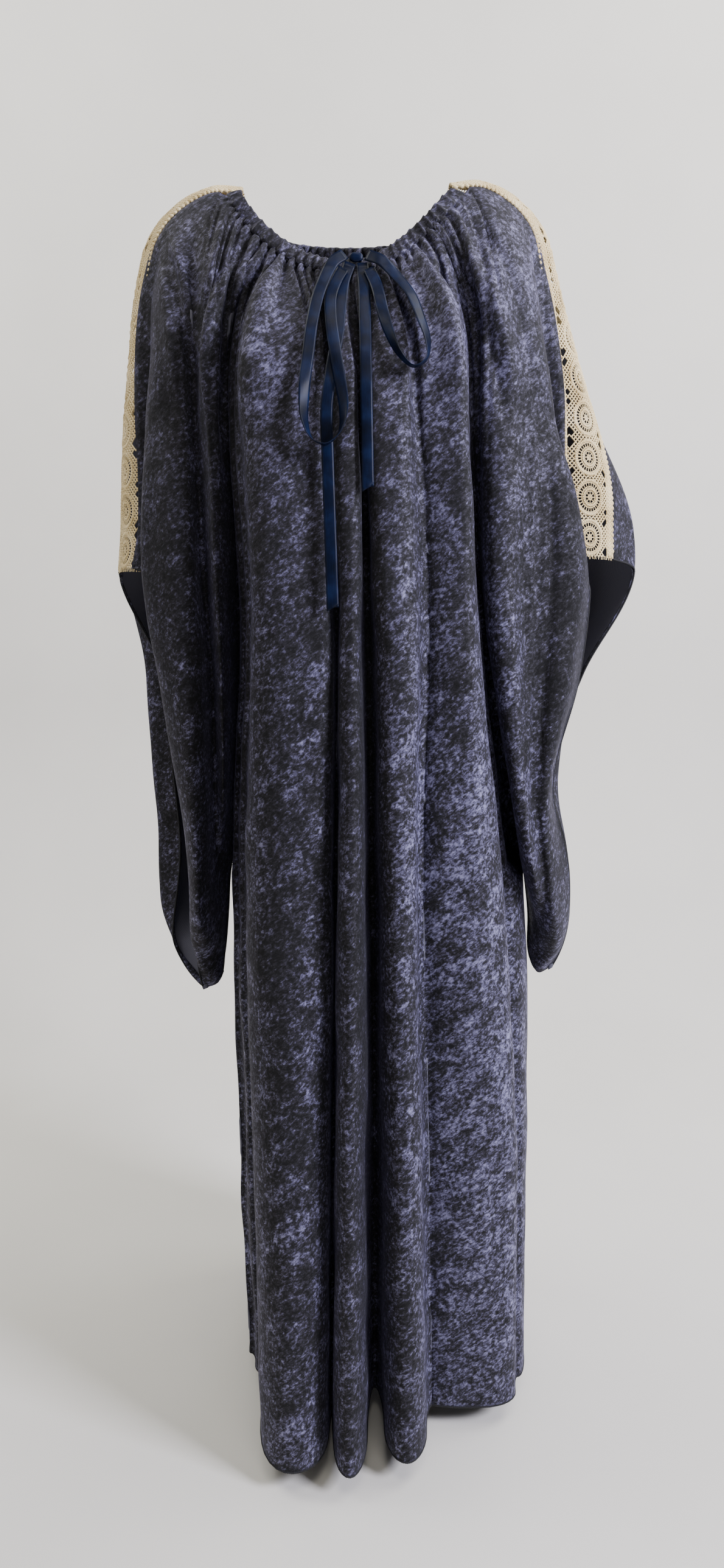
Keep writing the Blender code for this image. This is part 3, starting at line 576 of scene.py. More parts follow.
BACK_CREASES = (
    # height, half width, x and z along it
    (3.0, 5.0, ((-96, -60), (-130, -110), (-150, -170), (-158, -260))),
    (-3.0, 4.5, ((-110, -60), (-150, -120), (-170, -190))),
    (2.6, 5.5, ((80, -60), (118, -115), (140, -180), (150, -280))),
    (-2.8, 4.5, ((96, -60), (135, -120), (160, -200))),
    (2.2, 6.0, ((-48, -300), (-52, -520), (-60, -760))),
    (2.0, 6.0, ((20, -420), (24, -700), (22, -1000))),
    (-2.0, 5.0, ((84, -560), (100, -800), (110, -1100))),
)
RIBBON_ROOM = 60.0
RIBBON_LIE = (
    # height, y of the strands on the front
    (-100, -103.5),
    (-120, -107.5),
    (-135, -117),
    (-150, -128),
    (-180, -142.8),
    (-210, -154),
    (-240, -162.5),
    (-300, -172),
    (-345, -178),
    (-470, -192),
)


def ribbon_lie(z):
    heights, depths = zip(*RIBBON_LIE)
    return -np.interp(-np.asarray(z, float), [-height for height in heights], [-depth for depth in depths])


NAP_PAINTED_LIGHT_AND_SHADE = (
    # x, z, half width, half height, lift: painted light and shade, partly the pile's lie in broad zones, and
    # narrow strips of painted shade down valleys between folds
    (150, -1050, 75, 480, 0.032),
    (90, -620, 60, 220, 0.022),
    (-75, -230, 45, 110, 0.025),
    (105, -190, 45, 90, 0.030),
    (170, -110, 45, 60, 0.035),
    (60, -160, 25, 70, 0.030),
    (-160, -110, 40, 60, 0.015),
    (240, -500, 60, 280, -0.050),
    (205, -330, 30, 110, 0.015),
    (-215, -520, 55, 300, -0.034),
    (-85, -850, 45, 420, -0.018),
    (10, -700, 14, 560, -0.060),
    (-24, -500, 8, 400, -0.050),
    (112, -430, 16, 220, -0.030),
    (-130, -330, 12, 240, -0.035),
)


def neck_edge(share, side):
    """Neck edge and the way the cloth leaves it; share runs 0 to 1 from left to right."""
    angle = math.pi * np.asarray(share, float)
    c, s = np.cos(angle), np.sin(angle)
    if side < 0:
        drop = np.where(c > 0, np.abs(s)**1.6, np.abs(s)**2.2)
        y = NECK_FRONT_Y - SEAM_GAP - NECK_FRONT_DEEP * s
        z = NECK_SIDE_Z - NECK_FRONT_DROP * drop
    else:
        y = NECK_BACK_Y + SEAM_GAP + NECK_BACK_DEEP * s
        z = NECK_SIDE_Z - NECK_BACK_DROP * s
    x = NECK_MIDDLE_X - NECK_HALF_WIDTH * c
    leave = np.stack([-c, 0.3 * side * s, -0.94 * s - 0.3 * np.abs(c)], axis=-1)
    return np.stack([x, y, z], axis=-1), unit(leave)


def top_seam(place, side):
    """Upper edge of a panel: 0 to 1 up the left lace, 1 to 2 round the neck, 2 to 3 down the right lace."""
    place = np.asarray(place, float)
    casing_share = 0.035
    left_share = 1 - (1 - casing_share) * np.clip(place, 0, 1)
    right_share = casing_share + (1 - casing_share) * np.clip(place - 2, 0, 1)
    across = np.full_like(place, float(side))
    left, _, left_leave, _ = lace_surface(LACE_LEFT, left_share, across)
    right, _, right_leave, _ = lace_surface(LACE_RIGHT, right_share, across)
    neck, neck_leave = neck_edge(np.clip(place - 1, 0, 1), side)
    neck = neck + neck_leave * CASING_HEIGHT
    on_left = (place < 1)[..., None]
    on_right = (place > 2)[..., None]
    point = np.where(on_left, left, np.where(on_right, right, neck))
    leave = np.where(on_left, left_leave, np.where(on_right, right_leave, neck_leave))
    gap = np.where(on_left | on_right, LACE_SEAM_GAP, SEAM_GAP)
    return point + leave * gap, leave


class Folds:
    """Fold lines of one piece, read at any height and at any place between two lines."""

    def __init__(self, rows, stations, body=None, line=0):
        self.heights = np.asarray(stations, float)
        columns = [[row[number] for row in rows] for number in (1, 2, 3, 4)]
        if body is not None:
            x, y = body.line(np.full(len(stations), line), self.heights)
            for column, value in zip(columns, (body.tops[line], columns[1][-1], x, y)):
                column.append(value)
        self.tops, self.widths, self.x, self.y = (np.asarray(column, float) for column in columns)
        self.x_slope = slopes(self.heights, self.x)
        self.y_slope = slopes(self.heights, self.y)

    def line(self, number, z):
        """x and y of the numbered lines at heights z."""
        number = np.clip(number, 0, len(self.x) - 1)
        z = np.clip(z, self.heights[-1], self.heights[0])
        k = np.clip((self.heights > z[..., None]).sum(-1) - 1, 0, len(self.heights) - 2)
        run = self.heights[k + 1] - self.heights[k]
        t = (z - self.heights[k]) / run
        at = ((number, k), (number, k + 1))
        return [
            smooth_between(t, *(values[place] for place in at), *(slope[place] * run for place in at))
            for values, slope in ((self.x, self.x_slope), (self.y, self.y_slope))
        ]

    def wave(self, u, z):
        """Round folds: crests and troughs in turn, with upright walls where the fold is deep."""
        low = np.clip(np.floor(u).astype(int), 0, len(self.x) - 2)
        p = u - low
        xa, ya = self.line(low, z)
        xb, yb = self.line(low + 1, z)
        wall = self.widths[low] / (self.widths[low] + self.widths[low + 1])
        steep = np.abs(yb - ya) / (np.abs(xb - xa) + 1e-6)
        upright = np.clip((steep - 0.45) / 0.6, 0, 1)
        plain = p ** (np.log(wall) / math.log(0.5))
        round_a = wall * np.sin(math.pi * p)
        round_b = 1 - (1 - wall) * np.sin(math.pi * (1 - p))
        share = (1 - upright) * plain + upright * np.where(p < 0.5, round_a, round_b)
        rise = 0.5 - 0.5 * np.cos(math.pi * p)
        ends = np.clip((HIP - z) / 15, 0, 1)
        late, early = 1 - np.cos(0.5 * math.pi * p), np.sin(0.5 * math.pi * p)
        for at_seam, end_share, end_rise in ((low == 0, late, early), (low == len(self.x) - 2, early, late)):
            share = np.where(at_seam, share + ends * (end_share - share), share)
            rise = np.where(at_seam, rise + ends * (end_rise - rise), rise)
        return xa + (xb - xa) * share, ya + (yb - ya) * rise

    def spline(self, u, z):
        """A smooth curve through the lines, for folds that turn under."""
        low = np.clip(np.floor(u).astype(int), 0, len(self.x) - 2)
        t = u - low
        near = [self.line(low + step, z) for step in (-1, 0, 1, 2)]
        out = []
        for axis in (0, 1):
            before, start, end, after = (place[axis] for place in near)
            before = np.where(low == 0, 2 * start - end, before)
            after = np.where(low == len(self.x) - 2, 2 * end - start, after)
            out.append(smooth_between(t, start, end, 0.5 * (end - before), 0.5 * (after - start)))
        return out


def fade(distance, length, power=2.5):
    return (1 - np.clip(distance / length, 0, 1)) ** power


def pull(curve, u, z, seam, ease):
    """How far x and y are drawn so that the curve meets the seam, fading out over the ease."""
    at = np.stack(curve(u, seam[:, 2]), axis=-1)
    return (seam[:, :2] - at) * fade(np.abs(z - seam[:, 2]), ease)[..., None]


def hang_wing(folds, u, rows, side, underarm):
    """Points of a wing sleeve's half, from the lace seam down to the underarm seam."""
    numbers = np.arange(len(folds.tops))
    tops, eases = np.interp(u, numbers, folds.tops), np.interp(u, numbers, folds.widths)
    seam, leave = top_seam(tops, side)
    start = seam + leave * SEAM_LEAD
    foot = along(underarm, u / numbers[-1])[:, :3]
    foot[:, 1] += side * (0.5 * SEAM_GAP + SOLID_WALL)
    z = start[:, 2] + (foot[:, 2] - start[:, 2]) * rows[:, None]
    xy = np.stack(folds.spline(np.broadcast_to(u, z.shape), z), axis=-1)
    xy = xy + pull(folds.spline, u, z, start, eases) + pull(folds.spline, u, z, foot, UNDERARM_EASE)
    return np.concatenate([seam[None], np.dstack([xy, z])]), tops, leave


def hang_body(folds, u, upper, lower, side):
    """Points of the body and skirt, from the neck casing down to the hem."""
    tops = np.interp(u, np.arange(len(folds.tops)), folds.tops)
    seam, leave = top_seam(tops, side)
    start = seam + leave * SEAM_LEAD
    z_upper = start[:, 2] + (HIP - start[:, 2]) * upper[:, None]
    z_lower = HIP + (HEM - HIP) * lower[:, None] + np.zeros_like(u)
    z = np.concatenate([z_upper, z_lower])
    xy = np.stack(folds.wave(np.broadcast_to(u, z.shape), z), axis=-1)
    xy = xy + pull(folds.wave, u, z, start, NECK_EASE)
    for column in (0, -1):
        height = z[:, column]
        seam_y = np.interp(-height, -folds.heights, folds.y[column])
        room = SOLID_WALL * np.clip(1 - (HIP - height) / SEAM_OPENS, 0, 1)
        xy[:, column, 1] = np.where(height < HIP - 1, seam_y, xy[:, column, 1])
        xy[:, column, 1] += side * (room + 0.5 * SEAM_GAP)
    return np.concatenate([seam[None], np.dstack([xy, z])]), tops, leave


def neck_length(share, side):
    """How far along the neck edge each share lies, in mm."""
    steps = np.linspace(0, 1, 400)
    edge, _ = neck_edge(steps, side)
    return np.interp(share, steps, lengths_along(edge))


def gather_height(share, side):
    """Round uneven gathers along the neck, from -1 in the valleys to 1 on the ridges."""
    s = neck_length(share, side)
    uneven = s + 2.6 * np.sin(s / 17 + side) + 1.3 * np.sin(s / 7.3 + 1)
    ridge = np.abs(np.sin(math.pi * uneven / GATHER_PITCH)) ** 0.75
    strength = 0.78 + 0.22 * np.sin(s / 11.7 + 2 * side)
    return (2 * ridge - 1) * strength


def outward(points, side):
    """Normals of a panel's grid that point out of the gown."""
    down = np.gradient(points, axis=0)
    across = np.gradient(points, axis=1)
    return unit(np.cross(down, across) + 1e-12) * -side


def lay_creases(points, normals, creases, side):
    """Soft troughs and ridges that follow the creases' lines as seen from the front."""
    steps = 60
    shift = np.zeros(points.shape[:2])
    facing = np.clip(1.6 * side * normals[..., 1], 0, 1)
    for height, half_width, line in creases:
        rows = along([(x, 0, z) for x, z in line], np.linspace(0, 1, steps))
        nearest = np.full(points.shape[:2], 1e9)
        place = np.zeros(points.shape[:2])
        for number, (x, _, z) in enumerate(rows):
            far = np.hypot(points[..., 0] - x, points[..., 2] - z)
            place = np.where(far < nearest, number / (steps - 1), place)
            nearest = np.minimum(nearest, far)
        ends = np.clip(6 * place + 0.15, 0, 1) * np.clip(4 * (1 - place) + 0.05, 0, 1)
        shift += height * ends * np.exp(-(nearest / half_width) ** 2) * facing
    return shift


def sway(points, amount):
    """The slight unevenness of cloth that hangs: long soft waves, the same each time."""
    dice = np.random.default_rng(12)
    height = np.zeros(points.shape[:2])
    for _ in range(14):
        direction = dice.normal(size=3) * (1.0, 1.0, 0.35)
        direction *= dice.uniform(0.035, 0.11) / np.linalg.norm(direction)
        height += np.sin(points @ direction + dice.uniform(0, 6.28))
    return height * amount / math.sqrt(14)


def grid_faces(numbers, flipped):
    faces = []
    rows, columns = numbers.shape
    for r in range(rows - 1):
        for c in range(columns - 1):
            face = [numbers[r, c], numbers[r + 1, c], numbers[r + 1, c + 1], numbers[r, c + 1]]
            if min(face) < 0:
                continue
            face = [int(number) for number in face]
            faces.append(face[::-1] if flipped else face)
    return faces


def roll_hems(points, side):
    """Turns the sleeve hems at the grid's sides and the skirt hem at its foot to the inside."""
    filled = np.where(np.isnan(points), 0, points)
    normals = outward(filled, side)
    reach = len(HEM_ROLL)
    rolls = []
    for column, inner in ((0, 1), (-1, -2)):
        away = unit(filled[:, column] - filled[:, inner] + 1e-9)
        edge = points[:, column]
        rolled = np.stack([edge + away * out - normals[:, column] * deep for out, deep in HEM_ROLL], axis=1)
        start = edge[:3, None]
        rolled[:3] = start + (rolled[:3] - start) * np.arange(3)[:, None, None] / 3
        rolls.append(rolled)
    whole = np.concatenate([rolls[0][:, ::-1], points, rolls[1]], axis=1)
    inside = np.pad(normals[-1:], ((0, 0), (reach, reach), (0, 0)), mode="edge")
    foot = [whole[-1:] + np.array((0, 0, -out)) - inside * deep for out, deep in HEM_ROLL]
    return np.concatenate([whole] + foot)


def cut_panel(body_rows, left_rows, right_rows, side, steps, wing_steps):
    """Grid of points of a whole panel, with nothing where the sleeves end, and each column's place."""
    upper = np.linspace(0, 1, 96) ** 1.25
    lower = np.linspace(0, 1, 61)[1:]
    body = Folds(body_rows, BODY_STATIONS)
    last = len(body_rows) - 1
    middle = hang_body(body, np.linspace(0, last, last * steps + 1), upper, lower, side)
    wings = []
    for rows, underarm, line in ((left_rows, LEFT_UNDERARM, 0), (right_rows, RIGHT_UNDERARM, last)):
        u = np.linspace(0, len(rows), len(rows) * wing_steps + 1)
        folds = Folds(rows, WING_STATIONS, body, line)
        points, tops, leave = hang_wing(folds, u, upper, side, underarm)
        nothing = np.full((len(lower), len(u), 3), np.nan)
        wings.append((np.concatenate([points, nothing]), tops, leave))
    left, right = wings
    points = np.concatenate([left[0][:, :-1], middle[0], right[0][:, ::-1][:, 1:]], axis=1)
    tops, leave = (np.concatenate([left[k][:-1], middle[k], right[k][::-1][1:]]) for k in (1, 2))
    return points, tops, leave


def neck_folds(tops, below, side):
    """Height of the fine gathers at the neck and of the long soft folds that they merge into."""
    share = np.clip(tops - 1, 0, 1)
    at_neck = np.clip(share / 0.03, 0, 1) * np.clip((1 - share) / 0.03, 0, 1)
    place = neck_length(share, side)
    reach = 110 + 60 * np.sin(math.pi * share) ** 2 + 40 * np.sin(place / 13.0) + 30 * np.sin(place / 5.1)
    swell = 1 + 0.6 * np.clip(below / 40, 0, 1)
    fine = 0.5 * GATHER_DEPTH * gather_height(share, side) * swell * fade(below, reach, 1.5)
    merged = np.sin(2 * math.pi * place / MERGED_PITCH + 1.4 * np.sin(place / 31.0) + 0.8)
    merged = merged * np.sin(math.pi * share) ** 0.6
    long_reach = 330 + 110 * np.sin(place / 19.0)
    long = 0.5 * MERGED_DEPTH * merged * np.clip(below / 45, 0, 1) * fade(below, long_reach, 1.2)
    return (fine + long) * at_neck


def shape_panel(points, tops, leave, side, creases):
    """Gathers, creases and sway on the hung panel, and its upper edge at the lace and the casing."""
    filled = np.where(np.isnan(points), 0, points)
    normals = outward(filled, side)
    below = np.linalg.norm(filled - filled[:1], axis=-1)
    rest = 1 - fade(below, 30)
    shift = rest * (lay_creases(filled, normals, creases, side) + sway(filled, 1.0))
    shift = shift + neck_folds(tops, below, side)
    shift[np.isnan(points[..., 0])] = 0
    shift[:, [0, -1]] = 0
    shaped = points + normals * shift[..., None]
    if side < 0:
        ribbon_foot, clear_of_ribbon = RIBBON_LIE[-1][0], 0.4
        low_enough = (shaped[..., 2] > ribbon_foot) & (below > 12)
        under_ribbon = (np.abs(shaped[..., 0]) < RIBBON_ROOM) & low_enough
        behind = np.maximum(shaped[..., 1], ribbon_lie(shaped[..., 2]) + clear_of_ribbon)
        shaped[..., 1] = np.where(under_ribbon, behind, shaped[..., 1])
    down_lace = np.where(tops < 1, 1 - tops, np.where(tops > 2, tops - 2, 0.0))
    lap = np.clip((down_lace - 0.10) / 0.48, 0, 1) * (side < 0)
    lap = (lap * lap * (3 - 2 * lap))[:, None]
    shaped[0] += normals[0] * LAP_RISE[0] * lap
    shaped[1] += normals[1] * 0.4 * LAP_RISE[0] * lap
    edges = []
    for reach, rise in ((1.0, LAP_RISE[2]), (0.5, LAP_RISE[1])):
        back = leave * (TUCK_UNDER * (1 - lap) + LAP_WIDE * lap) * reach
        edges.append(shaped[0] - back + normals[0] * (rise * lap - TUCK_BEHIND * (1 - lap)))
    return roll_hems(np.concatenate([np.stack(edges), shaped]), side)


def cloth_map(points):
    """Where each point lies on the cloth, in mm: across from the middle and down from the top."""
    middle = points.shape[1] // 2
    across = np.nan_to_num(np.linalg.norm(np.diff(points, axis=1), axis=-1))
    down = np.nan_to_num(np.linalg.norm(np.diff(points, axis=0), axis=-1))
    u = np.pad(np.cumsum(across, axis=1), ((0, 0), (1, 0)))
    v = np.pad(np.cumsum(down, axis=0), ((1, 0), (0, 0)))
    return np.stack([u - u[:, middle:middle + 1], -v], axis=-1)


def lay_nap_painted_light_and_shade(mesh, places):
    """Painted light and shade over the cloth, as a soft attribute: broad lighter and darker zones, partly the
    pile's lie, and narrow strips of painted shade down valleys.
    """
    nap_painted_light_and_shade = np.zeros(len(places))
    for x, z, half_width, half_height, lift in NAP_PAINTED_LIGHT_AND_SHADE:
        far = ((places[:, 0] - x) / half_width) ** 2 + ((places[:, 2] - z) / half_height) ** 2
        nap_painted_light_and_shade += lift * np.exp(-far)
    mesh.attributes.new("nap_painted_light_and_shade", "FLOAT", "POINT").data.foreach_set("value", nap_painted_light_and_shade.astype(np.float32))


def give_wall(obj, thickness, offset, inner_slot=0):
    wall = obj.modifiers.new("cloth wall", "SOLIDIFY")
    wall.thickness = thickness * MM
    wall.offset = offset
    wall.material_offset = inner_slot


def cloth_object(name, points, side, finish, inside):
    """A sheet from its grid of points, with its own cloth map and a thin wall."""
    used = ~np.isnan(points[..., 0])
    numbers = np.full(used.shape, -1)
    numbers[used] = np.arange(used.sum())
    faces = grid_faces(numbers, side > 0)
    mesh = cloth_mesh(name, points[used], faces, cloth_map(points)[used], finish)
    mesh.materials.append(inside)
    # Paints light and shade onto the velvet as a soft attribute
    lay_nap_painted_light_and_shade(mesh, points[used])
    sheet = put_on_gown(name, mesh)
    give_wall(sheet, VELVET_WALL, -1, inner_slot=1)
    return sheet


def crushed_velvet():
    """Crushed stretch velvet: curly clumps of pile a few mm wide catch the light on a near black ground."""
    made, tree, shader = new_material("crushed velvet")
    place = add(tree, "ShaderNodeTexCoord", out="Object")
    # The attribute brings painted light and shade: broad lighter and darker zones, partly the pile's lie, and
    # narrow strips of painted shade down valleys between folds
    nap_painted_light_and_shade = add(tree, "ShaderNodeAttribute", out="Fac", attribute_name="nap_painted_light_and_shade")
    pile_lie = math.radians(38)
    clump_size, streak_length, streak_width, patch_size = 0.0040, 0.0056, 0.0016, 0.020
    turned = add(tree, "ShaderNodeMapping", {"Vector": place, "Rotation": (0, pile_lie, 0)})

    def pile(length, width, detail, roughness, **more):
        scale = (1 / length, 1 / width, 1 / width)
        way = add(tree, "ShaderNodeMapping", {"Vector": turned, "Scale": scale})
        return noise(tree, way, 1.0, detail, Roughness=roughness, **more)

    clump = pile(clump_size / 0.7, clump_size, 5.0, 0.7, Distortion=0.25)
    streak = pile(streak_length, streak_width, 3.0, 0.6)
    patch = pile(patch_size / 0.7, patch_size, 4.0, 0.6)
    pattern, mean = 0.0, 0.47
    for part, weight in ((clump, 0.50), (streak, 0.18), (patch, 0.26)):
        pattern = maths(tree, "MULTIPLY_ADD", part, weight, pattern)
    # The pile is crushed harder, and so more speckled, down the gown than on the shoulders
    height = add(tree, "ShaderNodeSeparateXYZ", {0: place}, out="Z")
    crushed = add(tree, "ShaderNodeMapRange", {0: height, 1: -0.12, 2: -0.65, 3: 0.76, 4: 1.04})
    level = maths(tree, "SUBTRACT", pattern, mean)
    # The painted light and shade of the attribute is added to the colour level
    total = maths(tree, "MULTIPLY_ADD", level, crushed, maths(tree, "ADD", nap_painted_light_and_shade, mean))
    fill(tree, shader, {
        "Base Color": colours(tree, total, (
            (0.40, "#0a0a0e"), (0.455, "#191820"), (0.487, "#2c2a37"), (0.52, "#484660"), (0.60, "#8180a2"))),
        "Roughness": add(tree, "ShaderNodeMapRange", {0: total, 1: 0.36, 2: 0.62, 3: 0.95, 4: 0.5}),
        "Normal": bumps(tree, streak, 0.6, 0.0008),
        "Specular IOR Level": 0.35,
        "Sheen Weight": 0.15,
        "Sheen Roughness": 0.35,
        "Sheen Tint": linear("#8f8cb8"),
    })
    return made


def velvet_wrong_side():
    """The knitted back of the velvet: matt, dark and even, with fine ribs of the knit."""
    made, tree, shader = new_material("velvet wrong side")
    place = add(tree, "ShaderNodeUVMap", uv_map="cloth")
    knit_rib = 0.0012
    rib_scale = 1 / (2 * 3.14 * knit_rib)
    ribs = add(tree, "ShaderNodeTexWave", {"Vector": place, "Scale": rib_scale, "Distortion": 0.6}, out="Fac")
    fill(tree, shader, {
        "Base Color": colours(tree, ribs, ((0.2, "#4c4c5a"), (0.8, "#62626f"))),
        "Normal": bumps(tree, ribs, 0.4, 0.0003),
        "Roughness": 0.9,
    })
    return made


velvet = crushed_velvet()
wrong_side = velvet_wrong_side()

front_grid, front_tops, front_leave = cut_panel(FRONT_BODY, LEFT_WING_FRONT, RIGHT_WING_FRONT, -1, 14, 14)
front_grid = shape_panel(front_grid, front_tops, front_leave, -1, FRONT_CREASES)
front = cloth_object("front_velvet", front_grid, -1, velvet, wrong_side)
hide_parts("front_panel")

back_grid, back_tops, back_leave = cut_panel(BACK_BODY, LEFT_WING_BACK, RIGHT_WING_BACK, 1, 13, 12)
back_grid = shape_panel(back_grid, back_tops, back_leave, 1, BACK_CREASES)
back = cloth_object("back_velvet", back_grid, 1, velvet, wrong_side)
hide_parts("back_panel")

# Rolled hems
# The skirt hem and the open edges of the sleeves are rolled to the inside and overlocked with black
# polyester thread, whose slanting stitches stand close together round the edge. The seams are overlocked
# in the same way inside.
OVERLOCK_PITCH, OVERLOCK_WIDE, OVERLOCK_CORE = 0.0022, 0.0018, 0.0012


def polyester_thread():
    """Spun polyester thread: near black, matt, with a little blue in the light."""
    made, tree, shader = new_material("polyester thread")
    fibres = noise(tree, add(tree, "ShaderNodeTexCoord", out="Object"), 1400.0, 2.0)
    fill(tree, shader, {
        "Base Color": colours(tree, fibres, ((0.35, "#08080c"), (0.65, "#15151d"))),
        "Roughness": 0.8,
    })
    return made


def overlock(finish):
    """Geometry Nodes tree: slanting stitches round a line, over a thin core of rolled cloth."""
    tree, given = new_tree("overlock", (
        ("Geometry", None),
        ("Pitch", OVERLOCK_PITCH),
        ("Stitch", OVERLOCK_WIDE),
        ("Core", OVERLOCK_CORE),
    ))
    line = add(tree, "GeometryNodeMeshToCurve", {0: given[0]})
    places = add(tree, "GeometryNodeCurveToPoints", {"Curve": line, "Length": given["Pitch"]}, mode="LENGTH")
    ball = add(tree, "GeometryNodeMeshIcoSphere", {"Radius": given["Stitch"], "Subdivisions": 1})
    slant, flat = math.radians(24), (1.0, 0.95, 0.42)
    slanted = add(tree, "GeometryNodeTransform", {0: ball, 2: (0, slant, 0), 3: flat})
    stitches = add(tree, "GeometryNodeInstanceOnPoints", {
        0: places, 2: slanted, 5: places.node.outputs["Rotation"]})
    return finish_tree(tree, (stitches, thread_on(tree, line, given["Core"], sides=6)), finish)


def hem_lines(grid):
    """The outer edge of the rolled hem down both sleeves and along the foot of the skirt."""
    reach = len(HEM_ROLL)
    lines = (grid[1:, reach - 1], grid[1:, -reach], grid[-reach])
    return [line[~np.isnan(line[:, 0])] for line in lines]


def seam_lines():
    """Side seams and underarm seams, whose overlocked allowance lies just inside the cloth."""
    inside, past_the_hem = 1.9, 4
    heights = np.linspace(HIP, HEM + past_the_hem, 60)
    lines = []
    for table, fold in ((LEFT_UNDERARM, FRONT_BODY[0]), (RIGHT_UNDERARM, FRONT_BODY[-1])):
        inward = inside if fold[3][-1] < 0 else -inside
        x, y = (np.interp(-heights, [-station for station in BODY_STATIONS], fold[k]) for k in (3, 4))
        lines.append(np.stack([x + inward, y, heights], axis=-1))
        lines.append(along(table, np.linspace(0.04, 1, 40))[:, :3] + np.array((0, 0, inside)))
    return lines


overlock_tree = overlock(polyester_thread())
for name, lines in (
    ("front_hems", hem_lines(front_grid)),
    ("back_hems", hem_lines(back_grid)),
    ("inside_seams", seam_lines()),
):
    verts, edges = [], []
    for line in lines:
        edges += [(len(verts) + step, len(verts) + step + 1) for step in range(len(line) - 1)]
        verts += (line * MM).tolist()
    wire = bpy.data.meshes.new(name + " line")
    wire.from_pydata(verts, edges, [])
    hems = run_tree(name, overlock_tree, {}, start=wire)
    tidy_shell(hems)
    put_on_gown(name, hems)

# Neck casing
# The velvet's own edge, turned to the inside and stitched down to hold the drawstring. The ribbon draws
# it up, so it is as full of gathers as the cloth below, with a soft pile edge.
CASING_SECTION = (
    # down: share of the height; out: mm from the middle of the casing; ripple: share of the gathers
    (1.02, 1.2, 1.0),
    (0.85, 1.9, 1.0),
    (0.65, 2.2, 0.95),
    (0.40, 2.3, 0.9),
    (0.20, 2.2, 0.85),
    (0.05, 1.7, 0.8),
    (-0.08, 0.6, 0.7),
    (-0.08, -0.6, 0.6),
    (0.05, -1.6, 0.55),
    (0.35, -2.2, 0.5),
    (0.70, -2.3, 0.5),
    (1.00, -1.6, 0.5),
)


def turn_casing(name, side, columns):
    """One half of the casing, closed all round and at its ends."""
    share = np.linspace(-0.004, 1.004, columns + 1)
    edge, leave = neck_edge(share, side)
    run = unit(np.gradient(edge, axis=0))
    out = unit(np.cross(leave, run)) * side
    ripple = 0.5 * GATHER_DEPTH * gather_height(share, side)
    lengths = neck_length(np.clip(share, 0, 1), side)
    top_ripple = 0.8 * np.sin(lengths / 2.9) + 0.5 * np.sin(lengths / 1.3)
    rings = []
    for down, thick, part in CASING_SECTION:
        height = down * CASING_HEIGHT - (0.35 - min(down, 0.35)) * top_ripple
        rings.append(edge + leave * height[:, None] + out * (thick + part * ripple)[:, None])
    points = np.stack(rings, axis=1)
    numbers = np.arange(points.shape[0] * points.shape[1]).reshape(points.shape[:2])
    faces = grid_faces(np.hstack([numbers, numbers[:, :1]]), False)
    faces += [numbers[0].tolist(), numbers[-1][::-1].tolist()]
    around = np.concatenate([[0], np.cumsum(np.linalg.norm(np.diff(points, axis=1), axis=-1).mean(0))])
    cloth = np.stack(np.broadcast_arrays(lengths[:, None], -around[None]), axis=-1).reshape(-1, 2)
    mesh = cloth_mesh(name, points.reshape(-1, 3), faces, cloth, velvet)
    tidy_shell(mesh)
    return put_on_gown(name, mesh)


casing_front = turn_casing("casing_front_velvet", -1, 260)
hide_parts("neck_casing_front")
casing_back = turn_casing("casing_back_velvet", 1, 220)
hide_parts("neck_casing_back")

# Drawstring bow
# One length of navy satin ribbon, 12 mm wide. It comes out of the casing at the middle of the front and
# is tied in a bow whose loops and free ends hang down over the crests of the folds.
RIBBON_WIDTH, RIBBON_THICK = 12.0, 0.8
KNOT_PLACE, KNOT_SIZE, KNOT_SEAT = (0.0, -106.5), (14.0, 5.0, 9.0), 1.6
LEFT_LOOP = (
    # x, z, turn: degrees that the strand stands edge-on, lift: mm off the velvet
    (-11.7, -103.8, 0, 2.6),
    (-23, -114, 10, 9.0),
    (-34, -138, 0, 9.0),
    (-42, -170, 0, 7.5),
    (-47, -210, 10, 5.0),
    (-51, -250, 30, 4.5),
    (-50, -278, 60, 4.5),
    (-42, -296, 84, 4.5),
    (-29, -300, 90, 4.5),
    (-17, -290, 80, 4.5),
    (-12, -268, 45, 4.5),
    (-15, -240, 20, 4.5),
    (-21, -205, 5, 5.0),
    (-25, -175, 0, 5.2),
    (-25, -150, 0, 5.2),
    (-19, -130, 0, 5.2),
    (-13, -119, 0, 5.2),
)
RIGHT_LOOP = (
    # x, z, turn, lift
    (11.2, -104.6, 0, 2.4),
    (25, -112, 10, 8.5),
    (40, -128, 20, 6.5),
    (54, -148, 30, 5.5),
    (64, -175, 40, 5.0),
    (71, -200, 60, 4.5),
    (69, -218, 84, 4.5),
    (57, -225, 90, 4.5),
    (44, -214, 75, 4.5),
    (33, -190, 40, 4.5),
    (26, -165, 15, 5.2),
    (21, -140, 0, 5.2),
    (16, -126, 0, 5.2),
    (13, -119, 0, 5.2),
)
LEFT_TAIL = (
    # x, z, turn, lift
    (-6.2, -112.4, 0, 1.6),
    (-12, -130, 0, 1.8),
    (-15, -155, 0, 1.8),
    (-18, -190, 0, 1.8),
    (-24, -225, 0, 1.8),
    (-29, -265, 0, 1.8),
    (-28, -310, 0, 1.8),
    (-26, -370, 0, 1.8),
    (-24, -430, 0, 1.8),
    (-23, -462, 0, 1.8),
)
RIGHT_TAIL = (
    # x, z, turn, lift
    (6.3, -112.4, 0, 1.6),
    (8, -140, 0, 1.8),
    (9, -180, 0, 1.8),
    (10, -230, 0, 1.8),
    (11, -290, 0, 1.8),
    (12, -345, 0, 1.8),
)


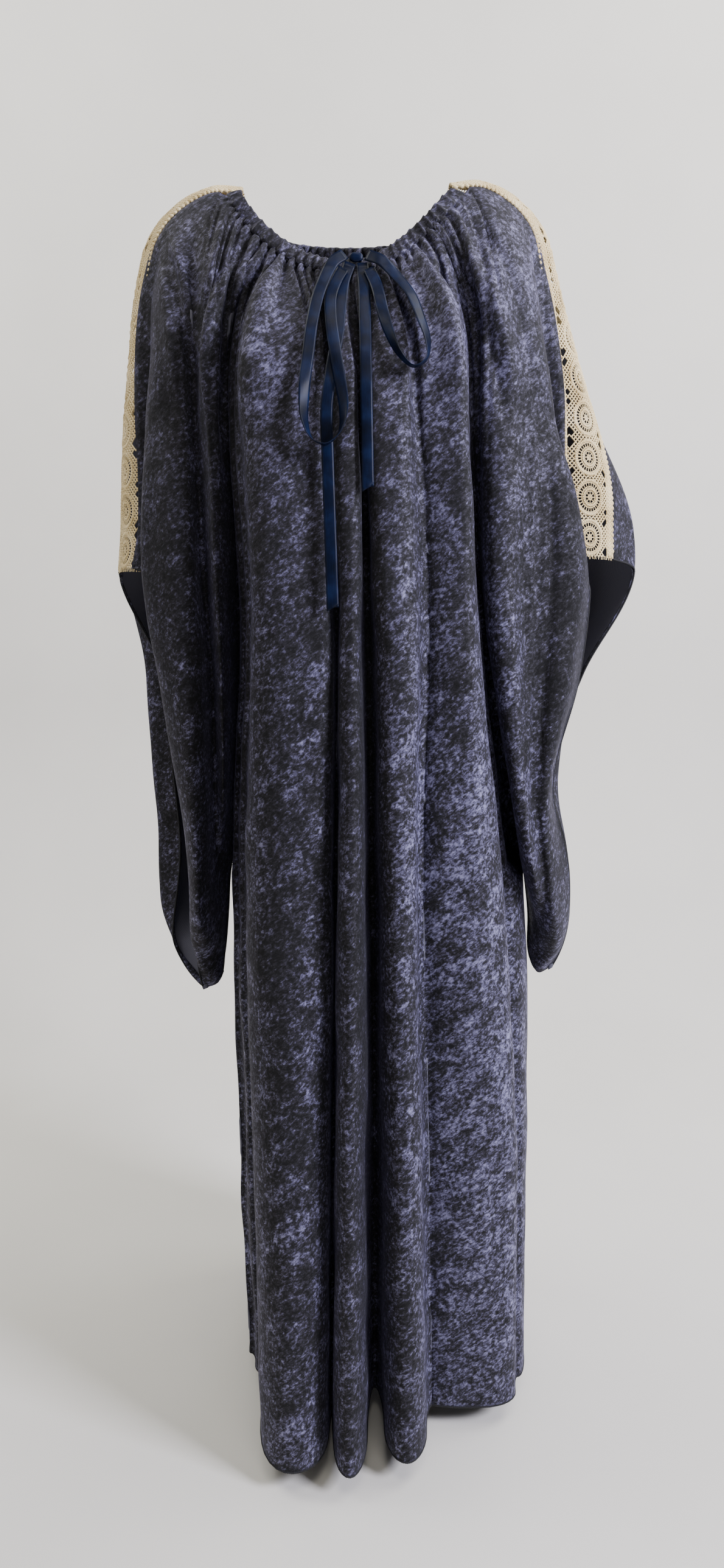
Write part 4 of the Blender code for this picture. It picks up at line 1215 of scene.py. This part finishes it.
def ribbon_satin():
    """Navy polyester satin: smooth floats of thread along the ribbon give a soft streak of light."""
    made, tree, shader = new_material("ribbon satin")
    place = add(tree, "ShaderNodeUVMap", uv_map="cloth")
    thread_pitch = 0.0004
    stretched = add(tree, "ShaderNodeMapping", {"Vector": place, "Scale": (1 / thread_pitch, 60.0, 1.0)})
    threads = noise(tree, stretched, 1.0, 2.0)
    tone = maths(tree, "MULTIPLY_ADD", threads, 0.4, noise(tree, place, 45.0, 3.0))
    fill(tree, shader, {
        "Base Color": colours(tree, tone, ((0.45, "#040914"), (0.70, "#081128"), (0.95, "#101f3e"))),
        "Normal": bumps(tree, tone, 0.25, 0.0004),
        "Roughness": 0.42,
        "Specular IOR Level": 0.12,
    })
    return made


def lay_ribbon(name, route, slanted_end=False):
    """A flat strand of ribbon, a little cupped across, that lies just in front of the velvet."""
    count = 9 * (len(route) - 1) + 1
    rows = along([(x, 0.0, z, turn, lift) for x, z, turn, lift in route], np.linspace(0, 1, count))
    x, z, turn, lift = rows[:, 0], rows[:, 2], np.radians(rows[:, 3]), rows[:, 4]
    middle = np.stack([x, ribbon_lie(z) - lift, z], axis=-1)
    run = unit(np.gradient(middle, axis=0) * (1, 0, 1))
    flat = np.stack([-run[:, 2], np.zeros(count), run[:, 0]], axis=-1)
    width = np.cos(turn)[:, None] * flat + np.sin(turn)[:, None] * np.array((0, 1, 0))
    half = 0.5 * RIBBON_WIDTH
    forward = np.abs(np.sin(turn)) * half
    lengths = lengths_along(middle)
    strands = []
    shares = np.linspace(-1, 1, 7)
    for share in shares:
        strand = middle + share * half * width
        strand[:, 1] += ribbon_lie(strand[:, 2]) - ribbon_lie(z) - forward
        strand[:, 1] -= 0.5 * (1 - share**2) * np.cos(turn) - 0.25 * np.sin(lengths / 9 + share)
        if slanted_end:
            strand[-1, 2] += 3.5 * (1 + share)
        strands.append(strand)
    points = np.stack(strands, axis=1)
    faces = grid_faces(np.arange(count * len(shares)).reshape(count, len(shares)), True)
    cloth = np.stack(np.broadcast_arrays(shares[None] * half, lengths[:, None]), axis=-1).reshape(-1, 2)
    mesh = cloth_mesh(name, points.reshape(-1, 3), faces, cloth, satin)
    ribbon = put_on_gown(name + "_satin", mesh)
    give_wall(ribbon, RIBBON_THICK, 0)
    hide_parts(name)


def tie_knot():
    """The middle of the bow: the ribbon wrapped once round itself, with soft diagonal wraps."""
    x, z = KNOT_PLACE
    y = float(ribbon_lie(z)) + KNOT_SEAT - 0.5 * KNOT_SIZE[1]
    rings, sides = 40, 40
    lean = np.linspace(0, math.pi, rings + 1)[:, None]
    turn = np.arange(sides) * 2 * math.pi / sides
    around = (np.sin(lean) * np.cos(turn), np.sin(lean) * np.sin(turn))
    spot = np.dstack(np.broadcast_arrays(np.cos(lean), *around))
    wrap = 0.35 * np.sin(9 * (spot[..., 0] * 0.55 + spot[..., 2] * 0.5)) * np.sin(lean)
    shape = np.copysign(0.5 * np.abs(spot) ** 0.75, spot) * KNOT_SIZE
    shape[..., 1:] *= (1 + 0.09 * wrap - 0.05 * np.cos(2 * lean))[..., None]
    points = (shape + (x, y, z)).reshape(-1, 3)
    numbers = np.arange(len(points)).reshape(rings + 1, sides)
    faces = grid_faces(np.hstack([numbers, numbers[:, :1]]), False)
    mesh = cloth_mesh("ribbon_knot", points, faces, points[:, [2, 0]], satin)
    tidy_shell(mesh, weld=1e-6)
    knot = put_on_gown("ribbon_knot_satin", mesh)
    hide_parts("ribbon_knot")


satin = ribbon_satin()
tie_knot()
lay_ribbon("ribbon_loop_left", LEFT_LOOP)
lay_ribbon("ribbon_loop_right", RIGHT_LOOP)
lay_ribbon("ribbon_tail_left", LEFT_TAIL, slanted_end=True)
lay_ribbon("ribbon_tail_right", RIGHT_TAIL, slanted_end=True)

# Floor, light and camera
# A pale floor, a large soft light high on the right, softer ones from the left and behind, and the
# camera at the height and angle of the photograph.
FLOOR_HEIGHT = -1.40


def studio_floor():
    made, tree, shader = new_material("pale studio floor")
    grain = noise(tree, add(tree, "ShaderNodeTexCoord", out="Object"), 3.0, 3.0)
    fill(tree, shader, {
        "Base Color": colours(tree, grain, ((0.3, "#dad8d2"), (0.7, "#e0ded8"))),
        "Roughness": 0.9,
    })
    bend, front_edge, wall_foot, wall_top, half_wide = 0.7, -3.0, 0.8, 3.0, 4.0
    rows = [(front_edge, FLOOR_HEIGHT)]
    for share in np.linspace(0, 1, 24):
        angle = 0.5 * math.pi * share
        rows.append((wall_foot + bend * math.sin(angle), FLOOR_HEIGHT + bend * (1 - math.cos(angle))))
    rows.append((wall_foot + bend, wall_top))
    verts = [(x, y, z) for y, z in rows for x in (-half_wide, half_wide)]
    faces = [(2 * i, 2 * i + 1, 2 * i + 3, 2 * i + 2) for i in range(len(rows) - 1)]
    floor_mesh = bpy.data.meshes.new("studio_floor")
    floor_mesh.from_pydata(verts, [], faces)
    floor_mesh.materials.append(made)
    floor_mesh.shade_smooth()
    return put_in_scene("studio_floor", floor_mesh)


def soft_light(name, place, aim, size, power, colour):
    data = bpy.data.lights.new(name, "AREA")
    data.shape = "SQUARE"
    data.size = size
    data.energy = power
    data.color = linear(colour)[:3]
    light = put_in_scene(name, data)
    light.location = place
    direction = np.array(aim) - np.array(place)
    flat = math.hypot(direction[0], direction[1])
    light.rotation_euler = (math.atan2(flat, -direction[2]), 0, math.atan2(-direction[0], direction[1]))


studio_floor()
for light in (
    # name, place, aim, size in metres, watts, colour
    ("high right light", (2.2, -1.35, 0.7), (0, -0.1, -0.7), 0.7, 150, "#f0efff"),
    ("left fill light", (-2.4, -1.8, 0.2), (0, 0, -0.8), 2.0, 12, "#fff6ea"),
    ("top light", (0.2, -1.2, 1.9), (0, 0, -0.6), 1.0, 24, "#fffaf2"),
    ("left backdrop light", (-1.5, 0.2, 1.4), (-0.8, 1.4, -0.4), 1.2, 46, "#fbfaf6"),
    ("right backdrop light", (1.5, 0.2, 1.4), (0.8, 1.4, -0.4), 1.2, 46, "#fbfaf6"),
):
    soft_light(*light)

world = bpy.data.worlds.new("studio air")
world.use_nodes = True
air = world.node_tree.nodes["Background"]
fill(world.node_tree, air, {"Color": linear("#eeeff2"), "Strength": 0.11})
bpy.context.scene.world = world

PICTURE_HEIGHT, FOCAL_PIXELS, SENSOR = 2576, 1720, 24.0
camera_data = bpy.data.cameras.new("camera")
camera_data.sensor_fit = "VERTICAL"
camera_data.sensor_height = SENSOR
camera_data.lens = SENSOR * FOCAL_PIXELS / PICTURE_HEIGHT
camera = put_in_scene("camera", camera_data)
camera.location = (0.006, -1.25, -0.45)
camera.rotation_euler = (math.radians(80), 0, 0)
bpy.context.scene.camera = camera
